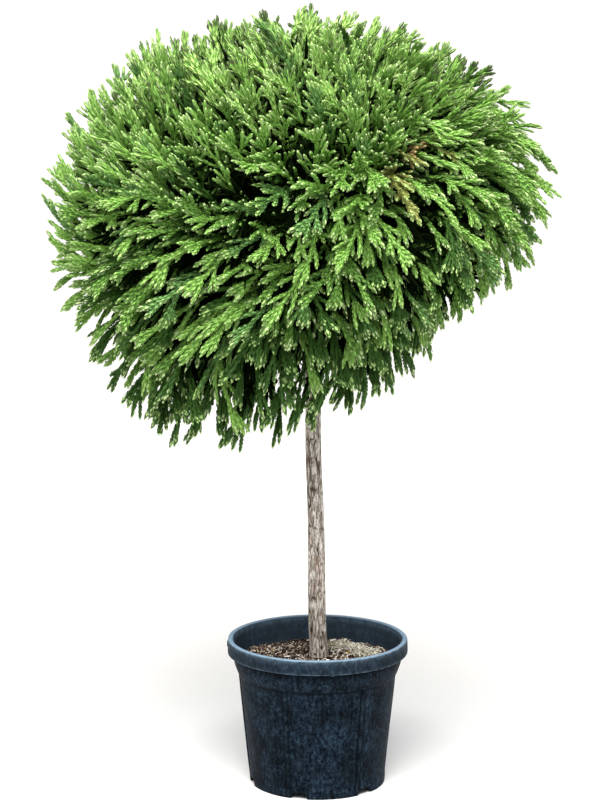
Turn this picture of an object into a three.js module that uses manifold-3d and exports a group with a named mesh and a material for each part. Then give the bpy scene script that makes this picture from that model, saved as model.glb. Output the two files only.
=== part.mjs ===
// A standard conifer in its nursery pot: a clear trunk that forks inside a round, hanging crown.
// Millimetres, +Z up, +X to the plant's right as seen from its front, which faces -Y.
// The origin is the middle of the pot's flat underside.

import * as THREE from 'three';
import { mergeVertices } from 'three/addons/utils/BufferGeometryUtils.js';
import Module from 'manifold-3d';

const wasm = await Module();
wasm.setup();

const { clamp, degToRad, lerp, radToDeg, smoothstep } = THREE.MathUtils;

// ---------------------------------------------------------------- driving dimensions

const GAP = 0.3; // between pieces that touch

const pot = {
  height: 312,
  rimRadius: 190,
  rimHeight: 32,
  rimWidth: 15, // from the inner lip to the outer face
  collarRadius: 177, // the flared band under the rim
  collarHeight: 44,
  bodyRadius: 167, // just under the collar
  footRadius: 143,
  wall: 4,
  floor: 6,
  notches: 6, // drain notches round the foot
  notchWidth: 33,
  notchHeight: 12.5,
  notchDepth: 17,
  firstNotch: -106, // bearing in degrees
};

const mix = { level: 270, sag: 6 }; // the potting mix's top, and how far it sinks at the wall

const trunk = {
  foot: new THREE.Vector3(3, 0, mix.level + GAP),
  atCrown: new THREE.Vector3(-10, 0, 810), // where it goes in under the foliage
  tip: new THREE.Vector3(-20, 2, 1132),
  footRadius: 18.5,
  crownRadius: 16,
  tipRadius: 10.5,
  flare: 2.5, // how much wider the root flare is
  flareHeight: 26,
  sway: -1.4, // how far it wanders from its line
};

// The crown reaches this far from its middle, in each direction.
const crown = {
  middle: new THREE.Vector3(-40, 0, 1160),
  side: 545,
  top: 478,
  squareness: 2.15, // 2 makes the upper half an ellipse, and more makes it fuller at the shoulder
  fringe: 435, // outward and down, at front and back
  fringeLean: 76, // it hangs this much longer on the left, and shorter on the right
  under: 318, // straight down, beside the trunk
  waist: 0.06, // how much the shoulder overhangs, as a share of the reach,
  waistRise: -4, // at which height angle in degrees,
  waistHeight: 9, // and over how many degrees
};

const bareRadius = 165; // the boughs fill this much of the crown's middle

// The dense inside of a mass, in shares of the crown's reach.
const core = {
  inside: 0.5,
  outside: 0.8,
  clear: 1.15 * bareRadius, // its nearest to the crown's middle, in millimetres
  room: 4, // to the next mass, in millimetres
  rounding: 0.15,
  lumps: 0.045,
  lumpsAround: 9,
  lumpsUp: 11,
};

// One ring of masses each: angles in degrees, rise is the height angle seen from the crown's middle.
const rings = [
  { name: 'top', count: 1, low: 57, high: 90, turn: 0, sprays: 13 },
  { name: 'upper', count: 5, low: 19, high: 57, turn: 14, sprays: 9, rootHeight: 1085 },
  { name: 'middle', count: 6, low: -19, high: 19, turn: 30, sprays: 10, rootHeight: 1022 },
  { name: 'skirt', count: 5, low: -68, high: -19, turn: 34, sprays: 9, rootHeight: 938 },
];

const bough = { rootRadius: 6.2, endRadius: 4.6, rootStep: 8, bend: 0.4 }; // roots are stepped up the trunk

// A mass's own twig: how far out it goes in shares of the reach, and the top one's width to the trunk's.
const stem = { reach: 0.56, width: 0.8 };

// How a spray's end points, by its place: hanging at the skirt, arching out below the crown's shoulder, and
// standing above it. Each pair is a place and an ending, both in degrees above the level.
const endings = [[-68, -84], [-40, -76], [-15, -56], [4, -34], [16, -4], [27, 42], [45, 66], [90, 86]];

// How sprays differ. Places and endings change in degrees, and a sway is a lean aside as a share of the length.
const habit = {
  placeLean: 17, // places lie this much lower on the right
  placeWave: 10,
  endingSpread: 36,
  swayWave: 0.45, // neighbours lean aside together in clumps
  sway: 0.9, // and each by itself,
  swayBack: 1 / 3, // by so much less at its start, to the other side
  parting: -76, // the front is combed to both sides of this bearing,
  combWidth: 34, // most so this far from it,
  comb: 0.34,
  combLean: 0.28, // and more on the left
  uncombed: -46, // the combing grows between these two height angles
  combed: 2,
  steepestStart: -40,
};

// A spray is a toothed blade: a stem with shoots to either side in turn, in one plane that bends with its line.
const spray = {
  long: 250, // from foot to tip, at the skirt,
  short: 180, // and at the top;
  longUnder: -50, // it changes between these two height angles
  shortAbove: 30,
  beyondKnee: 0.6, // the share of it after its bend
  falloff: 0.1, // how much less than the crown's reach the shortest has
  roll: 1.5, // how far its plane may turn about its line, in radians
  rollAt: 0.7,
  width: 15, // of its stem, at the foot
  thickness: 7,
  taper: 0.4, // how much thinner it is at its tip
  border: 15, // how far its line stays from the borders of the mass's space
  shoots: 3,
  firstShoot: 0.3, // these five are shares of the spray's length: where the first shoot leaves,
  shootStep: 0.17, // how much further out each next one does,
  shootWidth: 0.16, // how wide its root is along the stem,
  shootLength: 0.42,
  shorter: 0.82, // and each shoot to the one before it
  fork: 36, // degrees between a shoot and its stem
  room: 1.6, // kept clear along the borders of the mass's space
};

// ---------------------------------------------------------------- solids

// A closed three.js geometry as a manifold solid.
function solidOf(geometry) {
  const bare = geometry.clone();
  for (const name of ['normal', 'uv']) bare.deleteAttribute(name);
  const merged = mergeVertices(bare, 1e-3);
  return new wasm.Manifold(new wasm.Mesh({
    numProp: 3,
    vertProperties: new Float32Array(merged.getAttribute('position').array),
    triVerts: new Uint32Array(merged.index.array),
  }));
}

// Fuses solids into one body. Loose scraps and the walls of sealed hollows are dropped.
function fuse(solids) {
  const parts = wasm.Manifold.union(solids).decompose();
  return parts.reduce((best, part) => (part.volume() > best.volume() ? part : best));
}

function geometryOf(solid) {
  const mesh = solid.getMesh();
  const geometry = new THREE.BufferGeometry();
  geometry.setAttribute('position', new THREE.BufferAttribute(new Float32Array(mesh.vertProperties), 3));
  geometry.setIndex(new THREE.BufferAttribute(new Uint32Array(mesh.triVerts), 1));
  return geometry;
}

// Moves each point of a geometry to where the function puts it.
function reshaped(geometry, placed) {
  const points = geometry.getAttribute('position');
  const point = new THREE.Vector3();
  for (let i = 0; i < points.count; i++) {
    point.fromBufferAttribute(points, i);
    points.setXYZ(i, ...placed(point).toArray());
  }
  return geometry;
}

// A round tapering limb along a curve: radiusAt(0) is its foot's and radiusAt(1) its tip's. across is level.
function limb(curve, radiusAt, { sides, spans, across }) {
  return reshaped(new THREE.CylinderGeometry(1, 1, 1, sides, spans), ({ x, y, z }) => {
    const t = clamp(y + 0.5, 0, 1);
    const along = curve.getTangent(t);
    const deep = new THREE.Vector3().crossVectors(along, across).normalize();
    const wide = new THREE.Vector3().crossVectors(deep, along);
    return curve.getPoint(t)
      .addScaledVector(wide, x * radiusAt(t))
      .addScaledVector(deep, -z * radiusAt(t));
  });
}

// ---------------------------------------------------------------- pot and potting mix

// The pot's wall in (radius, height) from foot to rim: its outer face or, set in, its inner one.
function wallLine(inset = 0) {
  const collarTop = pot.height - pot.rimHeight;
  const collarFoot = collarTop - pot.collarHeight;
  return [
    [pot.footRadius, 12],
    [lerp(pot.footRadius, pot.bodyRadius, 0.5), collarFoot / 2],
    [pot.bodyRadius, collarFoot - 4],
    [pot.bodyRadius + 3, collarFoot],
    [pot.collarRadius, collarTop - 14],
    [pot.collarRadius, collarTop],
  ].map(([radius, z]) => [radius - inset, z]);
}

// The pot's outline from the axis, up the outside, over the rim and down the inside to its floor.
function potOutline() {
  const { height, rimRadius, rimWidth, footRadius, wall, floor } = pot;
  const rimFoot = height - pot.rimHeight;
  const lip = rimRadius - rimWidth;
  const rim = [
    [rimRadius - 3, rimFoot + 0.5], [rimRadius, rimFoot + 4],
    [rimRadius, height - 8], [rimRadius - 2, height - 3], [rimRadius - 6, height],
    [lip + 4, height], [lip, height - 5],
  ];
  return [
    [0, 0], [footRadius - 4, 0], [footRadius - 1, 3],
    ...wallLine(), ...rim, ...wallLine(wall).reverse(),
    [footRadius - wall - 4, floor], [0, floor],
  ];
}

// The mix fills the pot up to its level. Its top is flat round the trunk and sinks a little to the wall.
function mixOutline() {
  const inset = pot.wall + GAP;
  const foot = pot.floor + GAP;
  const edge = mix.level - mix.sag;
  const walls = wallLine(inset);
  const above = walls.findIndex(([, z]) => z > edge);
  const [[lowRadius, lowZ], [highRadius, highZ]] = walls.slice(above - 1);
  return [
    [0, foot], [pot.footRadius - inset - 4, foot], ...walls.slice(0, above),
    [lerp(lowRadius, highRadius, (edge - lowZ) / (highZ - lowZ)), edge],
    [pot.bodyRadius * 0.62, mix.level - mix.sag / 3],
    [trunk.footRadius * 2, mix.level], [0, mix.level],
  ];
}

function turned(outline, sides) {
  const points = outline.map(([radius, z]) => new THREE.Vector2(radius, z));
  return new THREE.LatheGeometry(points, sides).rotateX(Math.PI / 2);
}

// The foot is notched all round for drainage.
function makePot() {
  const notches = Array.from({ length: pot.notches }, (_, i) => {
    const notch = new THREE.BoxGeometry(pot.notchDepth, pot.notchWidth, pot.notchHeight * 2);
    notch.translate(pot.footRadius, 0, 0);
    return solidOf(notch.rotateZ(degToRad(pot.firstNotch + (i * 360) / pot.notches)));
  });
  return solidOf(turned(potOutline(), 32)).subtract(wasm.Manifold.union(notches));
}

const makeMix = () => solidOf(turned(mixOutline(), 16));

// ---------------------------------------------------------------- trunk and boughs

// The trunk's middle line, run on below the mix so that the ground cut is flat.
function trunkLine() {
  const { foot, atCrown, tip, sway } = trunk;
  const under = new THREE.Vector3(foot.x, foot.y, foot.z - 20);
  const clear = [0.25, 0.5, 0.75].map((share, i) => {
    const bend = sway * (i === 1 ? -1 : 1);
    return new THREE.Vector3().lerpVectors(foot, atCrown, share).add(new THREE.Vector3(bend, -bend / 2, 0));
  });
  return new THREE.CatmullRomCurve3([under, foot, ...clear, atCrown, tip]);
}

// Thickness by height: a root flare at the foot, and a steady taper to the tip.
function trunkRadius(z) {
  const { foot, atCrown, tip, footRadius, crownRadius, tipRadius, flare, flareHeight } = trunk;
  const flared = flare * Math.exp(-Math.max(z - foot.z, 0) / flareHeight);
  if (z < atCrown.z) return flared + lerp(footRadius, crownRadius, smoothstep(z, foot.z, atCrown.z));
  return lerp(crownRadius, tipRadius, (z - atCrown.z) / (tip.z - atCrown.z));
}

// The trunk as a solid, grown by some clearance where another piece is cut clear of it.
function trunkSolid(clearance = 0) {
  const line = trunkLine();
  const across = new THREE.Vector3(1, 0, 0);
  const radiusAt = (t) => trunkRadius(line.getPoint(t).z) + clearance;
  return solidOf(limb(line, radiusAt, { sides: 12, spans: 16, across }));
}

function makeTrunk() {
  const ground = new THREE.BoxGeometry(200, 200, 100);
  ground.translate(trunk.foot.x, trunk.foot.y, trunk.foot.z - 50);
  return trunkSolid().subtract(solidOf(ground));
}

// The trunk's middle at a height inside the crown.
function trunkMiddle(z) {
  const share = (z - trunk.atCrown.z) / (trunk.tip.z - trunk.atCrown.z);
  return new THREE.Vector3().lerpVectors(trunk.atCrown, trunk.tip, share);
}

// A bough leaves the trunk steeply, bends over and runs straight out from the crown's middle to its mass.
function makeBough(cell) {
  const root = trunkMiddle(cell.rootHeight);
  const end = crownPoint(cell.bearing, cell.rise, bareRadius);
  const bend = crownPoint(cell.bearing, cell.rise, bareRadius * bough.bend);
  const line = new THREE.QuadraticBezierCurve3(root, bend, end);
  const radiusAt = (t) => lerp(bough.rootRadius, bough.endRadius, Math.sqrt(t));
  const solid = solidOf(limb(line, radiusAt, { sides: 6, spans: 4, across: acrossAt(cell.bearing) }));
  return fuse([solid.subtract(trunkSolid(GAP))]);
}

// ---------------------------------------------------------------- the crown's shape

// Unit vectors: outward at a bearing and height angle, and level across it.
function outward(bearing, rise) {
  return new THREE.Vector3(
    Math.cos(rise) * Math.cos(bearing), Math.cos(rise) * Math.sin(bearing), Math.sin(rise));
}

const acrossAt = (bearing) => new THREE.Vector3(-Math.sin(bearing), Math.cos(bearing), 0);

const crownPoint = (bearing, rise, reach) => outward(bearing, rise).multiplyScalar(reach).add(crown.middle);

// How far the tips reach: a rounded dome above, and a hanging fringe below that is longer on the left. The
// dome's shoulder overhangs a slight waist.
function crownReach(bearing, rise) {
  const { side, top, squareness, fringe, fringeLean, under, waist, waistRise, waistHeight } = crown;
  const wide = Math.cos(rise) / side;
  const high = Math.max(Math.sin(rise), 0) / top;
  const dome = (wide ** squareness + high ** squareness) ** (-1 / squareness);
  const hanging = lerp(side, fringe - fringeLean * Math.cos(bearing), smoothstep(-rise, 0, degToRad(30)));
  const low = lerp(hanging, under, smoothstep(-rise, degToRad(60), degToRad(90)));
  const below = (radToDeg(rise) - waistRise) / waistHeight;
  return (rise >= 0 ? dome : low) * (1 - waist * Math.exp(-(below ** 2)));
}

// Each mass's own space: a wedge of the crown between two bearings and two height angles.
function crownCells() {
  return rings.flatMap((ring) => Array.from({ length: ring.count }, (_, i) => {
    const alone = ring.count === 1;
    const half = Math.PI / ring.count;
    const low = degToRad(ring.low);
    const high = degToRad(ring.high);
    const step = ((2 * i) % ring.count) - (ring.count - 1) / 2;
    return {
      name: alone ? ring.name : `${ring.name}_${i + 1}`,
      bearing: degToRad(ring.turn) + 2 * half * i,
      rise: alone ? high : (low + high) / 2,
      half, low, high, alone,
      rootHeight: ring.rootHeight + step * bough.rootStep,
      sprays: ring.sprays,
    };
  })).map((cell, index) => ({ ...cell, seed: index + 1 }));
}

// Where a point lies, seen from the crown's middle: its reach, its rise, and its turn from the mass's bearing.
function seenFrom(cell, point) {
  const away = new THREE.Vector3().subVectors(point, crown.middle);
  const reach = away.length();
  const turn = Math.atan2(away.y, away.x) - cell.bearing;
  return { reach, rise: Math.asin(away.z / reach), turn: Math.atan2(Math.sin(turn), Math.cos(turn)) };
}

// Whether a point lies in a mass's space, with some room to its borders and to the boughs.
function inside(cell, point, room) {
  const { reach, rise, turn } = seenFrom(cell, point);
  const level = reach * Math.cos(rise);
  return reach > bareRadius + 2 * room
    && reach * Math.sin(rise - cell.low) > room
    && (cell.alone || reach * Math.sin(cell.high - rise) > room)
    && (cell.alone || level * Math.sin(cell.half - Math.abs(turn)) > room);
}

// The place nearest to a point that lies in a mass's space, with some room to its borders.
function drawnIn(cell, point, room) {
  const { reach, rise, turn } = seenFrom(cell, point);
  const margin = room / reach;
  const kept = clamp(rise, cell.low + margin, cell.alone ? cell.high : cell.high - margin);
  const most = cell.alone ? cell.half : cell.half - margin / Math.cos(kept);
  return crownPoint(cell.bearing + clamp(turn, -most, most), kept, reach);
}

// ---------------------------------------------------------------- masses of foliage

// The dense inside of a mass: a slightly rounded, lumpy block that follows its space.
function coreSolid(cell) {
  const depth = crown.top * core.inside;
  const aside = (level) => Math.atan(core.room / level);
  const tall = (cell.high - cell.low) / 2 - aside(depth);
  const block = new THREE.BoxGeometry(2, 2, 2, 5, 3, 1);
  return solidOf(reshaped(block, (corner) => {
    const square = Math.max(...corner.toArray().map(Math.abs));
    const { x, y, z } = corner.multiplyScalar(lerp(1, square / corner.length(), core.rounding));
    const rise = cell.alone ? cell.high - 2 * tall * Math.max(Math.abs(x), Math.abs(y)) : cell.rise + y * tall;
    const turn = cell.alone ? Math.atan2(y, x) : x * (cell.half - aside(depth * Math.cos(rise)));
    const bearing = cell.bearing + turn;
    const [around, up] = [core.lumpsAround * bearing + cell.seed, core.lumpsUp * rise + 2 * cell.seed];
    const share = z > 0 ? core.outside + core.lumps * Math.sin(around) * Math.cos(up) : core.inside;
    return crownPoint(bearing, rise, Math.max(share * crownReach(bearing, rise), core.clear));
  }));
}

// Four even but irregular numbers from 0 to 1 for each count, after the seed.
function draws(seed, count) {
  const root = 1.16730397826142; // x^5 = x + 1
  return [1, 2, 3, 4].map((power) => (seed * 0.618034 + (count + 1) / root ** power) % 1);
}

// A new even number from -0.5 to 0.5, made from one between 0 and 1 by a whole factor.
const shuffled = (number, factor) => ((number * factor) % 1) - 0.5;

// A slow wave over the crown, from -1 to 1: the product of two sines of the direction.
function wave({ x, y, z }, phase) {
  return Math.sin(5.3 * x + 2.1 * y + phase) * Math.sin(4.7 * y - 3.9 * z + 2 * phase);
}

// How far a spray leans aside from the parting on the front.
function combedAt(bearing, rise) {
  const turn = bearing - degToRad(habit.parting);
  const aside = Math.atan2(Math.sin(turn), Math.cos(turn)) / degToRad(habit.combWidth);
  const hump = aside * Math.exp(0.5 - 0.5 * aside ** 2);
  const grown = smoothstep(rise, degToRad(habit.uncombed), degToRad(habit.combed));
  return (habit.comb * hump - habit.combLean * Math.abs(hump)) * grown;
}

// The ending at a place, both in degrees, straight between the named ones.
function endingAt(place) {
  const [first, last] = [endings[0], endings[endings.length - 1]];
  const kept = clamp(place, first[0], last[0]);
  const after = Math.max(endings.findIndex(([there]) => there >= kept), 1);
  const [[low, lowEnding], [high, highEnding]] = endings.slice(after - 1, after + 1);
  return lerp(lowEnding, highEnding, (kept - low) / (high - low));
}

// A spray's middle line, from a foot inside, over a knee, to a tip at the crown's surface. It sets out straight
// from the middle and ends the way its place says, and is drawn into the mass's space.
function sprayLine(cell, [u, v, w, roll]) {
  const rise = Math.asin(lerp(Math.sin(cell.low), Math.sin(cell.high), v));
  const bearing = cell.bearing + cell.half * (2 * u - 1);
  const way = outward(bearing, rise);
  const across = acrossAt(bearing);
  const tip = crownPoint(bearing, rise, crownReach(bearing, rise) * (1 - spray.falloff * w ** 2));
  const place = radToDeg(rise) - habit.placeLean * Math.cos(bearing) + habit.placeWave * wave(way, 1);
  const ending = endingAt(place) + habit.endingSpread * shuffled(roll, 11);
  const clump = habit.swayWave * wave(way, 2) + combedAt(bearing, rise);
  const sway = clump + habit.sway * shuffled(roll, 7);
  const end = outward(bearing, degToRad(ending)).addScaledVector(across, sway).normalize();
  const start = outward(bearing, Math.max(rise, degToRad(habit.steepestStart)))
    .addScaledVector(across, -sway * habit.swayBack).normalize();
  const height = smoothstep(radToDeg(rise), spray.longUnder, spray.shortAbove);
  const length = lerp(spray.long, spray.short, height);
  const knee = tip.clone().addScaledVector(end, -length * spray.beyondKnee);
  const foot = knee.clone().addScaledVector(start, -length * (1 - spray.beyondKnee));
  const points = [foot, knee, tip].map((point) => drawnIn(cell, point, spray.border));
  return { line: new THREE.QuadraticBezierCurve3(...points), across };
}

// One spray. A shoot whose tip would leave the mass's space is left out.
function sprayBlade(cell, numbers) {
  const { line, across } = sprayLine(cell, numbers);
  const length = line.getLength();
  const slope = line.getTangent(spray.rollAt);
  across.addScaledVector(slope, -across.dot(slope)).normalize();
  across.applyAxisAngle(slope, (numbers[3] - 0.5) * spray.roll);
  const placed = ({ x, y, z }) => {
    const t = clamp(y, 0, 1);
    const along = line.getTangentAt(t);
    const thick = new THREE.Vector3().crossVectors(along, across).normalize();
    return line.getPointAt(t)
      .addScaledVector(across, x)
      .addScaledVector(thick, -z * (1 - spray.taper * t));
  };
  const edge = (side) => {
    const points = [[side * spray.width / 2, 0]];
    for (let shoot = side > 0 ? 0 : 1; shoot < spray.shoots; shoot += 2) {
      const root = spray.firstShoot + spray.shootStep * shoot;
      const reach = spray.shootLength * spray.shorter ** shoot;
      const beside = side * (spray.width / 2) * (1 - 0.5 * root);
      const out = beside + side * reach * length * Math.sin(degToRad(spray.fork));
      const tip = [out, root + spray.shootWidth / 2 + reach * Math.cos(degToRad(spray.fork))];
      const there = placed(new THREE.Vector3(...tip, 0));
      const end = [beside, root + spray.shootWidth];
      if (inside(cell, there, spray.room)) points.push([beside, root], tip, end);
    }
    return points;
  };
  const outline = [...edge(1), [0, 1], ...edge(-1).reverse()].map((point) => new THREE.Vector2(...point));
  const options = { depth: spray.thickness, bevelEnabled: false };
  const blade = new THREE.ExtrudeGeometry(new THREE.Shape(outline), options);
  return reshaped(blade.translate(0, 0, -spray.thickness / 2), placed);
}

function fits(cell, geometry) {
  const points = geometry.getAttribute('position');
  const point = new THREE.Vector3();
  for (let i = 0; i < points.count; i++) {
    if (!inside(cell, point.fromBufferAttribute(points, i), spray.room)) return false;
  }
  return true;
}

// The twig that carries the mass, from just clear of its bough's end, or of the trunk's tip, into the core.
function stemSolid(cell) {
  const start = cell.alone ? trunk.tip.clone() : crownPoint(cell.bearing, cell.rise, bareRadius);
  const end = crownPoint(cell.bearing, cell.rise, crown.side * stem.reach);
  const aim = new THREE.Vector3().subVectors(end, start).normalize();
  start.addScaledVector(aim, GAP);
  const radius = cell.alone ? trunk.tipRadius * stem.width : bough.endRadius;
  const across = acrossAt(cell.bearing);
  return solidOf(limb(new THREE.LineCurve3(start, end), () => radius, { sides: 6, spans: 1, across }));
}

// The mass as one body. A spray that would leave the mass's space is skipped.
function makeMass(cell) {
  const sprays = Array.from({ length: cell.sprays }, (_, i) => sprayBlade(cell, draws(cell.seed, i)));
  const kept = sprays.filter((blade) => fits(cell, blade)).map(solidOf);
  return fuse([coreSolid(cell), stemSolid(cell), ...kept]);
}

// ---------------------------------------------------------------- the whole plant

const finishes = {
  plastic: { color: 0x2b3a48, roughness: 0.6, metalness: 0 },
  mix: { color: 0x3d2c22, roughness: 1, metalness: 0 },
  bark: { color: 0x8a8078, roughness: 0.9, metalness: 0 },
  twig: { color: 0x6b5a42, roughness: 0.9, metalness: 0 },
  foliage: { color: 0x4f8a2e, roughness: 0.7, metalness: 0 },
};

const group = new THREE.Group();

function add(name, solid, finish) {
  const mesh = new THREE.Mesh(geometryOf(solid), new THREE.MeshStandardMaterial(finishes[finish]));
  mesh.name = name;
  group.add(mesh);
}

add('pot', makePot(), 'plastic');
add('potting_mix', makeMix(), 'mix');
add('trunk', makeTrunk(), 'bark');
for (const cell of crownCells()) {
  if (!cell.alone) add(`bough_${cell.name}`, makeBough(cell), 'twig');
  add(`foliage_${cell.name}`, makeMass(cell), 'foliage');
}

export default group;
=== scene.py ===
"""A standard conifer topiary in a round nursery pot, dressed for looks.

Every shape is worked out with numpy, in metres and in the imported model's own frame: the origin lies under
the middle of the pot, and +Z points up. The crown grows by the same rule as its solids, from the same
named sizes, and is carried on to finer sprays and twigs."""

import math

import bpy
import numpy as np
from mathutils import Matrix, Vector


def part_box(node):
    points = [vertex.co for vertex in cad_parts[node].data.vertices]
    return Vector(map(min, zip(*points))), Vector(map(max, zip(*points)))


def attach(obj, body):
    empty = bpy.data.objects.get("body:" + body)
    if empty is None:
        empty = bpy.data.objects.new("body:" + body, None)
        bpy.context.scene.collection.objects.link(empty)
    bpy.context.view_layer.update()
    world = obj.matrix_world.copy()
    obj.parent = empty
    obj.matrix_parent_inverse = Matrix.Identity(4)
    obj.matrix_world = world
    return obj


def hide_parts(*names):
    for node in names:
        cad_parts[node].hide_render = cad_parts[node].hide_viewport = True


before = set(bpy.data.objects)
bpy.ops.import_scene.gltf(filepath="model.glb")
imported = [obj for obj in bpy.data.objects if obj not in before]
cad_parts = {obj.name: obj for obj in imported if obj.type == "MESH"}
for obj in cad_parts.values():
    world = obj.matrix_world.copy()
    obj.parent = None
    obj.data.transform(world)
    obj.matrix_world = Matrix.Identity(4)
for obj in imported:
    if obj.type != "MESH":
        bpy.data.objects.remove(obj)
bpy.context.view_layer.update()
MM = 0.001

# ---------------------------------------------------------------- sizes of the plant, as in its solids

CROWN_MIDDLE = np.array([-0.040, 0.0, 1.160])
CROWN_SIDE = 0.545  # reach of the foliage to the sides
CROWN_TOP = 0.478  # and to the top
SQUARENESS = 2.15  # 2 makes the upper half an ellipse, and more makes it fuller at the shoulder
FRINGE = 0.435  # reach of the hanging fringe below the middle
FRINGE_LEAN = 0.076  # it hangs this much lower on the left than FRINGE, and higher on the right
UNDERSIDE = 0.318  # reach straight down, round the trunk
WAIST = 0.06  # how much the shoulder overhangs, as a share of the reach
WAIST_RISE, WAIST_HEIGHT = math.radians(-4), math.radians(9)  # where it lies, and how tall it is
FRINGE_FALL, CLOSING_FALL = math.radians(30), math.radians(60)  # full fringe, and where it starts to close
BARE_RADIUS = 0.165  # the boughs fill this much of the crown's middle

# Rings of masses: how many, their lowest and highest rise and first bearing in degrees, the sprays that the
# solids have in each mass, and the height on the trunk where its boughs root.
RINGS = [
    dict(name="top", masses=1, low=57, high=90, turn=0, sprays=13, root=None),
    dict(name="upper", masses=5, low=19, high=57, turn=14, sprays=9, root=1.085),
    dict(name="middle", masses=6, low=-19, high=19, turn=30, sprays=10, root=1.022),
    dict(name="skirt", masses=5, low=-68, high=-19, turn=34, sprays=9, root=0.938),
]
ROOT_STEP = 0.008  # neighbouring boughs are stepped up the trunk
BOUGH_ROOT = 0.0062  # radius of a bough at the trunk
BOUGH_END = 0.0046  # and where it enters its mass

# How a spray's end points, by its place: hanging at the skirt, arching out below the crown's shoulder, and
# standing above it. All of these are in degrees above the level.
PLACES = (-68, -40, -15, 4, 16, 27, 45, 90)
ENDINGS = (-84, -76, -56, -34, -4, 42, 66, 86)
PLACE_LEAN = 17  # the places lie this much lower on the right of the crown,
PLACE_WAVE = 10  # they rise and fall by this much in waves,
ENDING_SPREAD = 36  # and neighbours' endings differ by as much as this

# Sprays lean aside by these shares of their direction: neighbours together in clumps, and each by itself.
SWAY_WAVE, SWAY = 0.45, 0.9
SWAY_BACK = 3  # a spray sets out to the other side, by so many times less

# The front is combed to both sides of a parting, and more on the left.
PARTING, COMB_WIDTH = math.radians(-76), math.radians(34)
COMB, COMB_LEAN = 0.34, 0.28
UNCOMBED, FULLY_COMBED = math.radians(-46), math.radians(2)  # the rises between which the combing grows

# A spray's length from foot to tip, and the share of it beyond the knee.
LONG_SPRAY, SHORT_SPRAY, BEYOND_KNEE = 0.25, 0.18, 0.6
LONG_BELOW, SHORT_ABOVE = math.radians(-50), math.radians(30)
STEEPEST_START = math.radians(-40)

# A thin patch at the right shoulder, and how much shorter of the crown's reach its sprays stay.
HOLLOW_BEARING, HOLLOW_RISE = math.radians(-56), math.radians(20)
HOLLOW_WIDTH, HOLLOW_HEIGHT = math.radians(9), math.radians(11)
HOLLOW_DEPTH = 0.14

GOLDEN = 0.618034  # the golden section, which keeps the masses' draws apart
DEAL = 1.16730397826142  # the root of x^5 = x + 1, whose powers spread draws evenly in four dimensions

# How far the sprays are carried on from the solids.
INNER_SHARE = 2  # plainer sprays behind them, painted deep green or near-black shade
SHADE_SHARE = 16  # near-black fans of painted shade inside
SPRAY_LENGTH = 0.145  # a spray's axis, without the fan at its end
SPRAY_REACH = 0.180  # and with it
SPRAY_KITS = 8  # different sprays of each sort that are dealt out


# ---------------------------------------------------------------- small tools


def linear(code):
    """A colour given as an sRGB hex code, as the linear colour that a shader takes."""
    value = np.array([int(code[i : i + 2], 16) / 255 for i in (1, 3, 5)])
    value = np.where(value <= 0.04045, value / 12.92, ((value + 0.055) / 1.055) ** 2.4)
    return (*value, 1.0)


def unit(vectors):
    """The same directions at length 1."""
    return vectors / np.maximum(np.linalg.norm(vectors, axis=-1, keepdims=True), 1e-12)


def mix(low, high, share):
    """From low at share 0 to high at share 1."""
    return low + (high - low) * share


def ramp(value, start, end):
    """A smooth step from 0 at start to 1 at end: 3 t^2 - 2 t^3."""
    t = np.clip((value - start) / (end - start), 0, 1)
    return t * t * (3 - 2 * t)


def lattice(cell, seed):
    """A fixed value between 0 and 1 for each whole-numbered cell: the fraction of a large sine."""
    wave = np.sin(cell[..., 0] * 12.9898 + cell[..., 1] * 78.233 + cell[..., 2] * 37.719 + seed)
    return np.abs(wave) * 43758.5453 % 1


def noise(points, seed=0):
    """Smooth value noise: the values of the eight corners of each unit cell, blended by a cubic ramp."""
    cell = np.floor(points)
    share = points - cell
    share = share * share * (3 - 2 * share)
    total = 0
    for corner in np.ndindex(2, 2, 2):
        weight = np.where(np.array(corner) == 1, share, 1 - share).prod(axis=-1)
        total = total + weight * lattice(cell + np.array(corner), seed)
    return total


def mesh_piece(name, points, faces, materials, slots=None, values=None, smooth=True):
    """An object from arrays of points and of faces with three or four corners each. `slots` deals the
    materials out by face, and `values` are named numbers kept on the points for a material to read."""
    mesh = bpy.data.meshes.new(name)
    points = np.ascontiguousarray(points, np.float32)
    faces = np.ascontiguousarray(faces, np.int32)
    mesh.vertices.add(len(points))
    mesh.vertices.foreach_set("co", points.ravel())
    mesh.loops.add(faces.size)
    mesh.loops.foreach_set("vertex_index", faces.ravel())
    mesh.polygons.add(len(faces))
    mesh.polygons.foreach_set("loop_start", np.arange(0, faces.size, faces.shape[1], dtype=np.int32))
    for material in materials:
        mesh.materials.append(material)
    if slots is not None:
        mesh.polygons.foreach_set("material_index", np.ascontiguousarray(slots, np.int32))
    mesh.polygons.foreach_set("use_smooth", np.full(len(faces), smooth))
    for key, value in (values or {}).items():
        layer = mesh.attributes.new(key, "FLOAT", "POINT")
        layer.data.foreach_set("value", np.ascontiguousarray(value, np.float32))
    mesh.update(calc_edges=True)
    piece = bpy.data.objects.new(name, mesh)
    bpy.context.scene.collection.objects.link(piece)
    return piece


def dress(piece, slot, *nodes):
    """The piece rides on the plant's one body and stands for CAD nodes, which it hides. `slot` is not used.
    """
    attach(piece, "root")
    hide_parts(*nodes)
    return piece


def grid_faces(rows, columns):
    """Four-cornered faces of a grid of points, numbered row by row, that closes on itself across."""
    row, column = np.mgrid[0 : rows - 1, 0:columns]
    here, after = row * columns, (column + 1) % columns
    corners = (here + column, here + after, here + columns + after, here + columns + column)
    return np.stack([corner.ravel() for corner in corners], axis=1)


def triangles(quads):
    """Each four-cornered face as two triangles."""
    return np.concatenate([quads[:, [0, 1, 2]], quads[:, [0, 2, 3]]])


def fan(pole, ring):
    """Triangles that close a ring of points on one point, in the ring's own sense of turning."""
    return np.stack([np.full(len(ring), pole), ring, np.roll(ring, -1)], axis=1)


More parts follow.
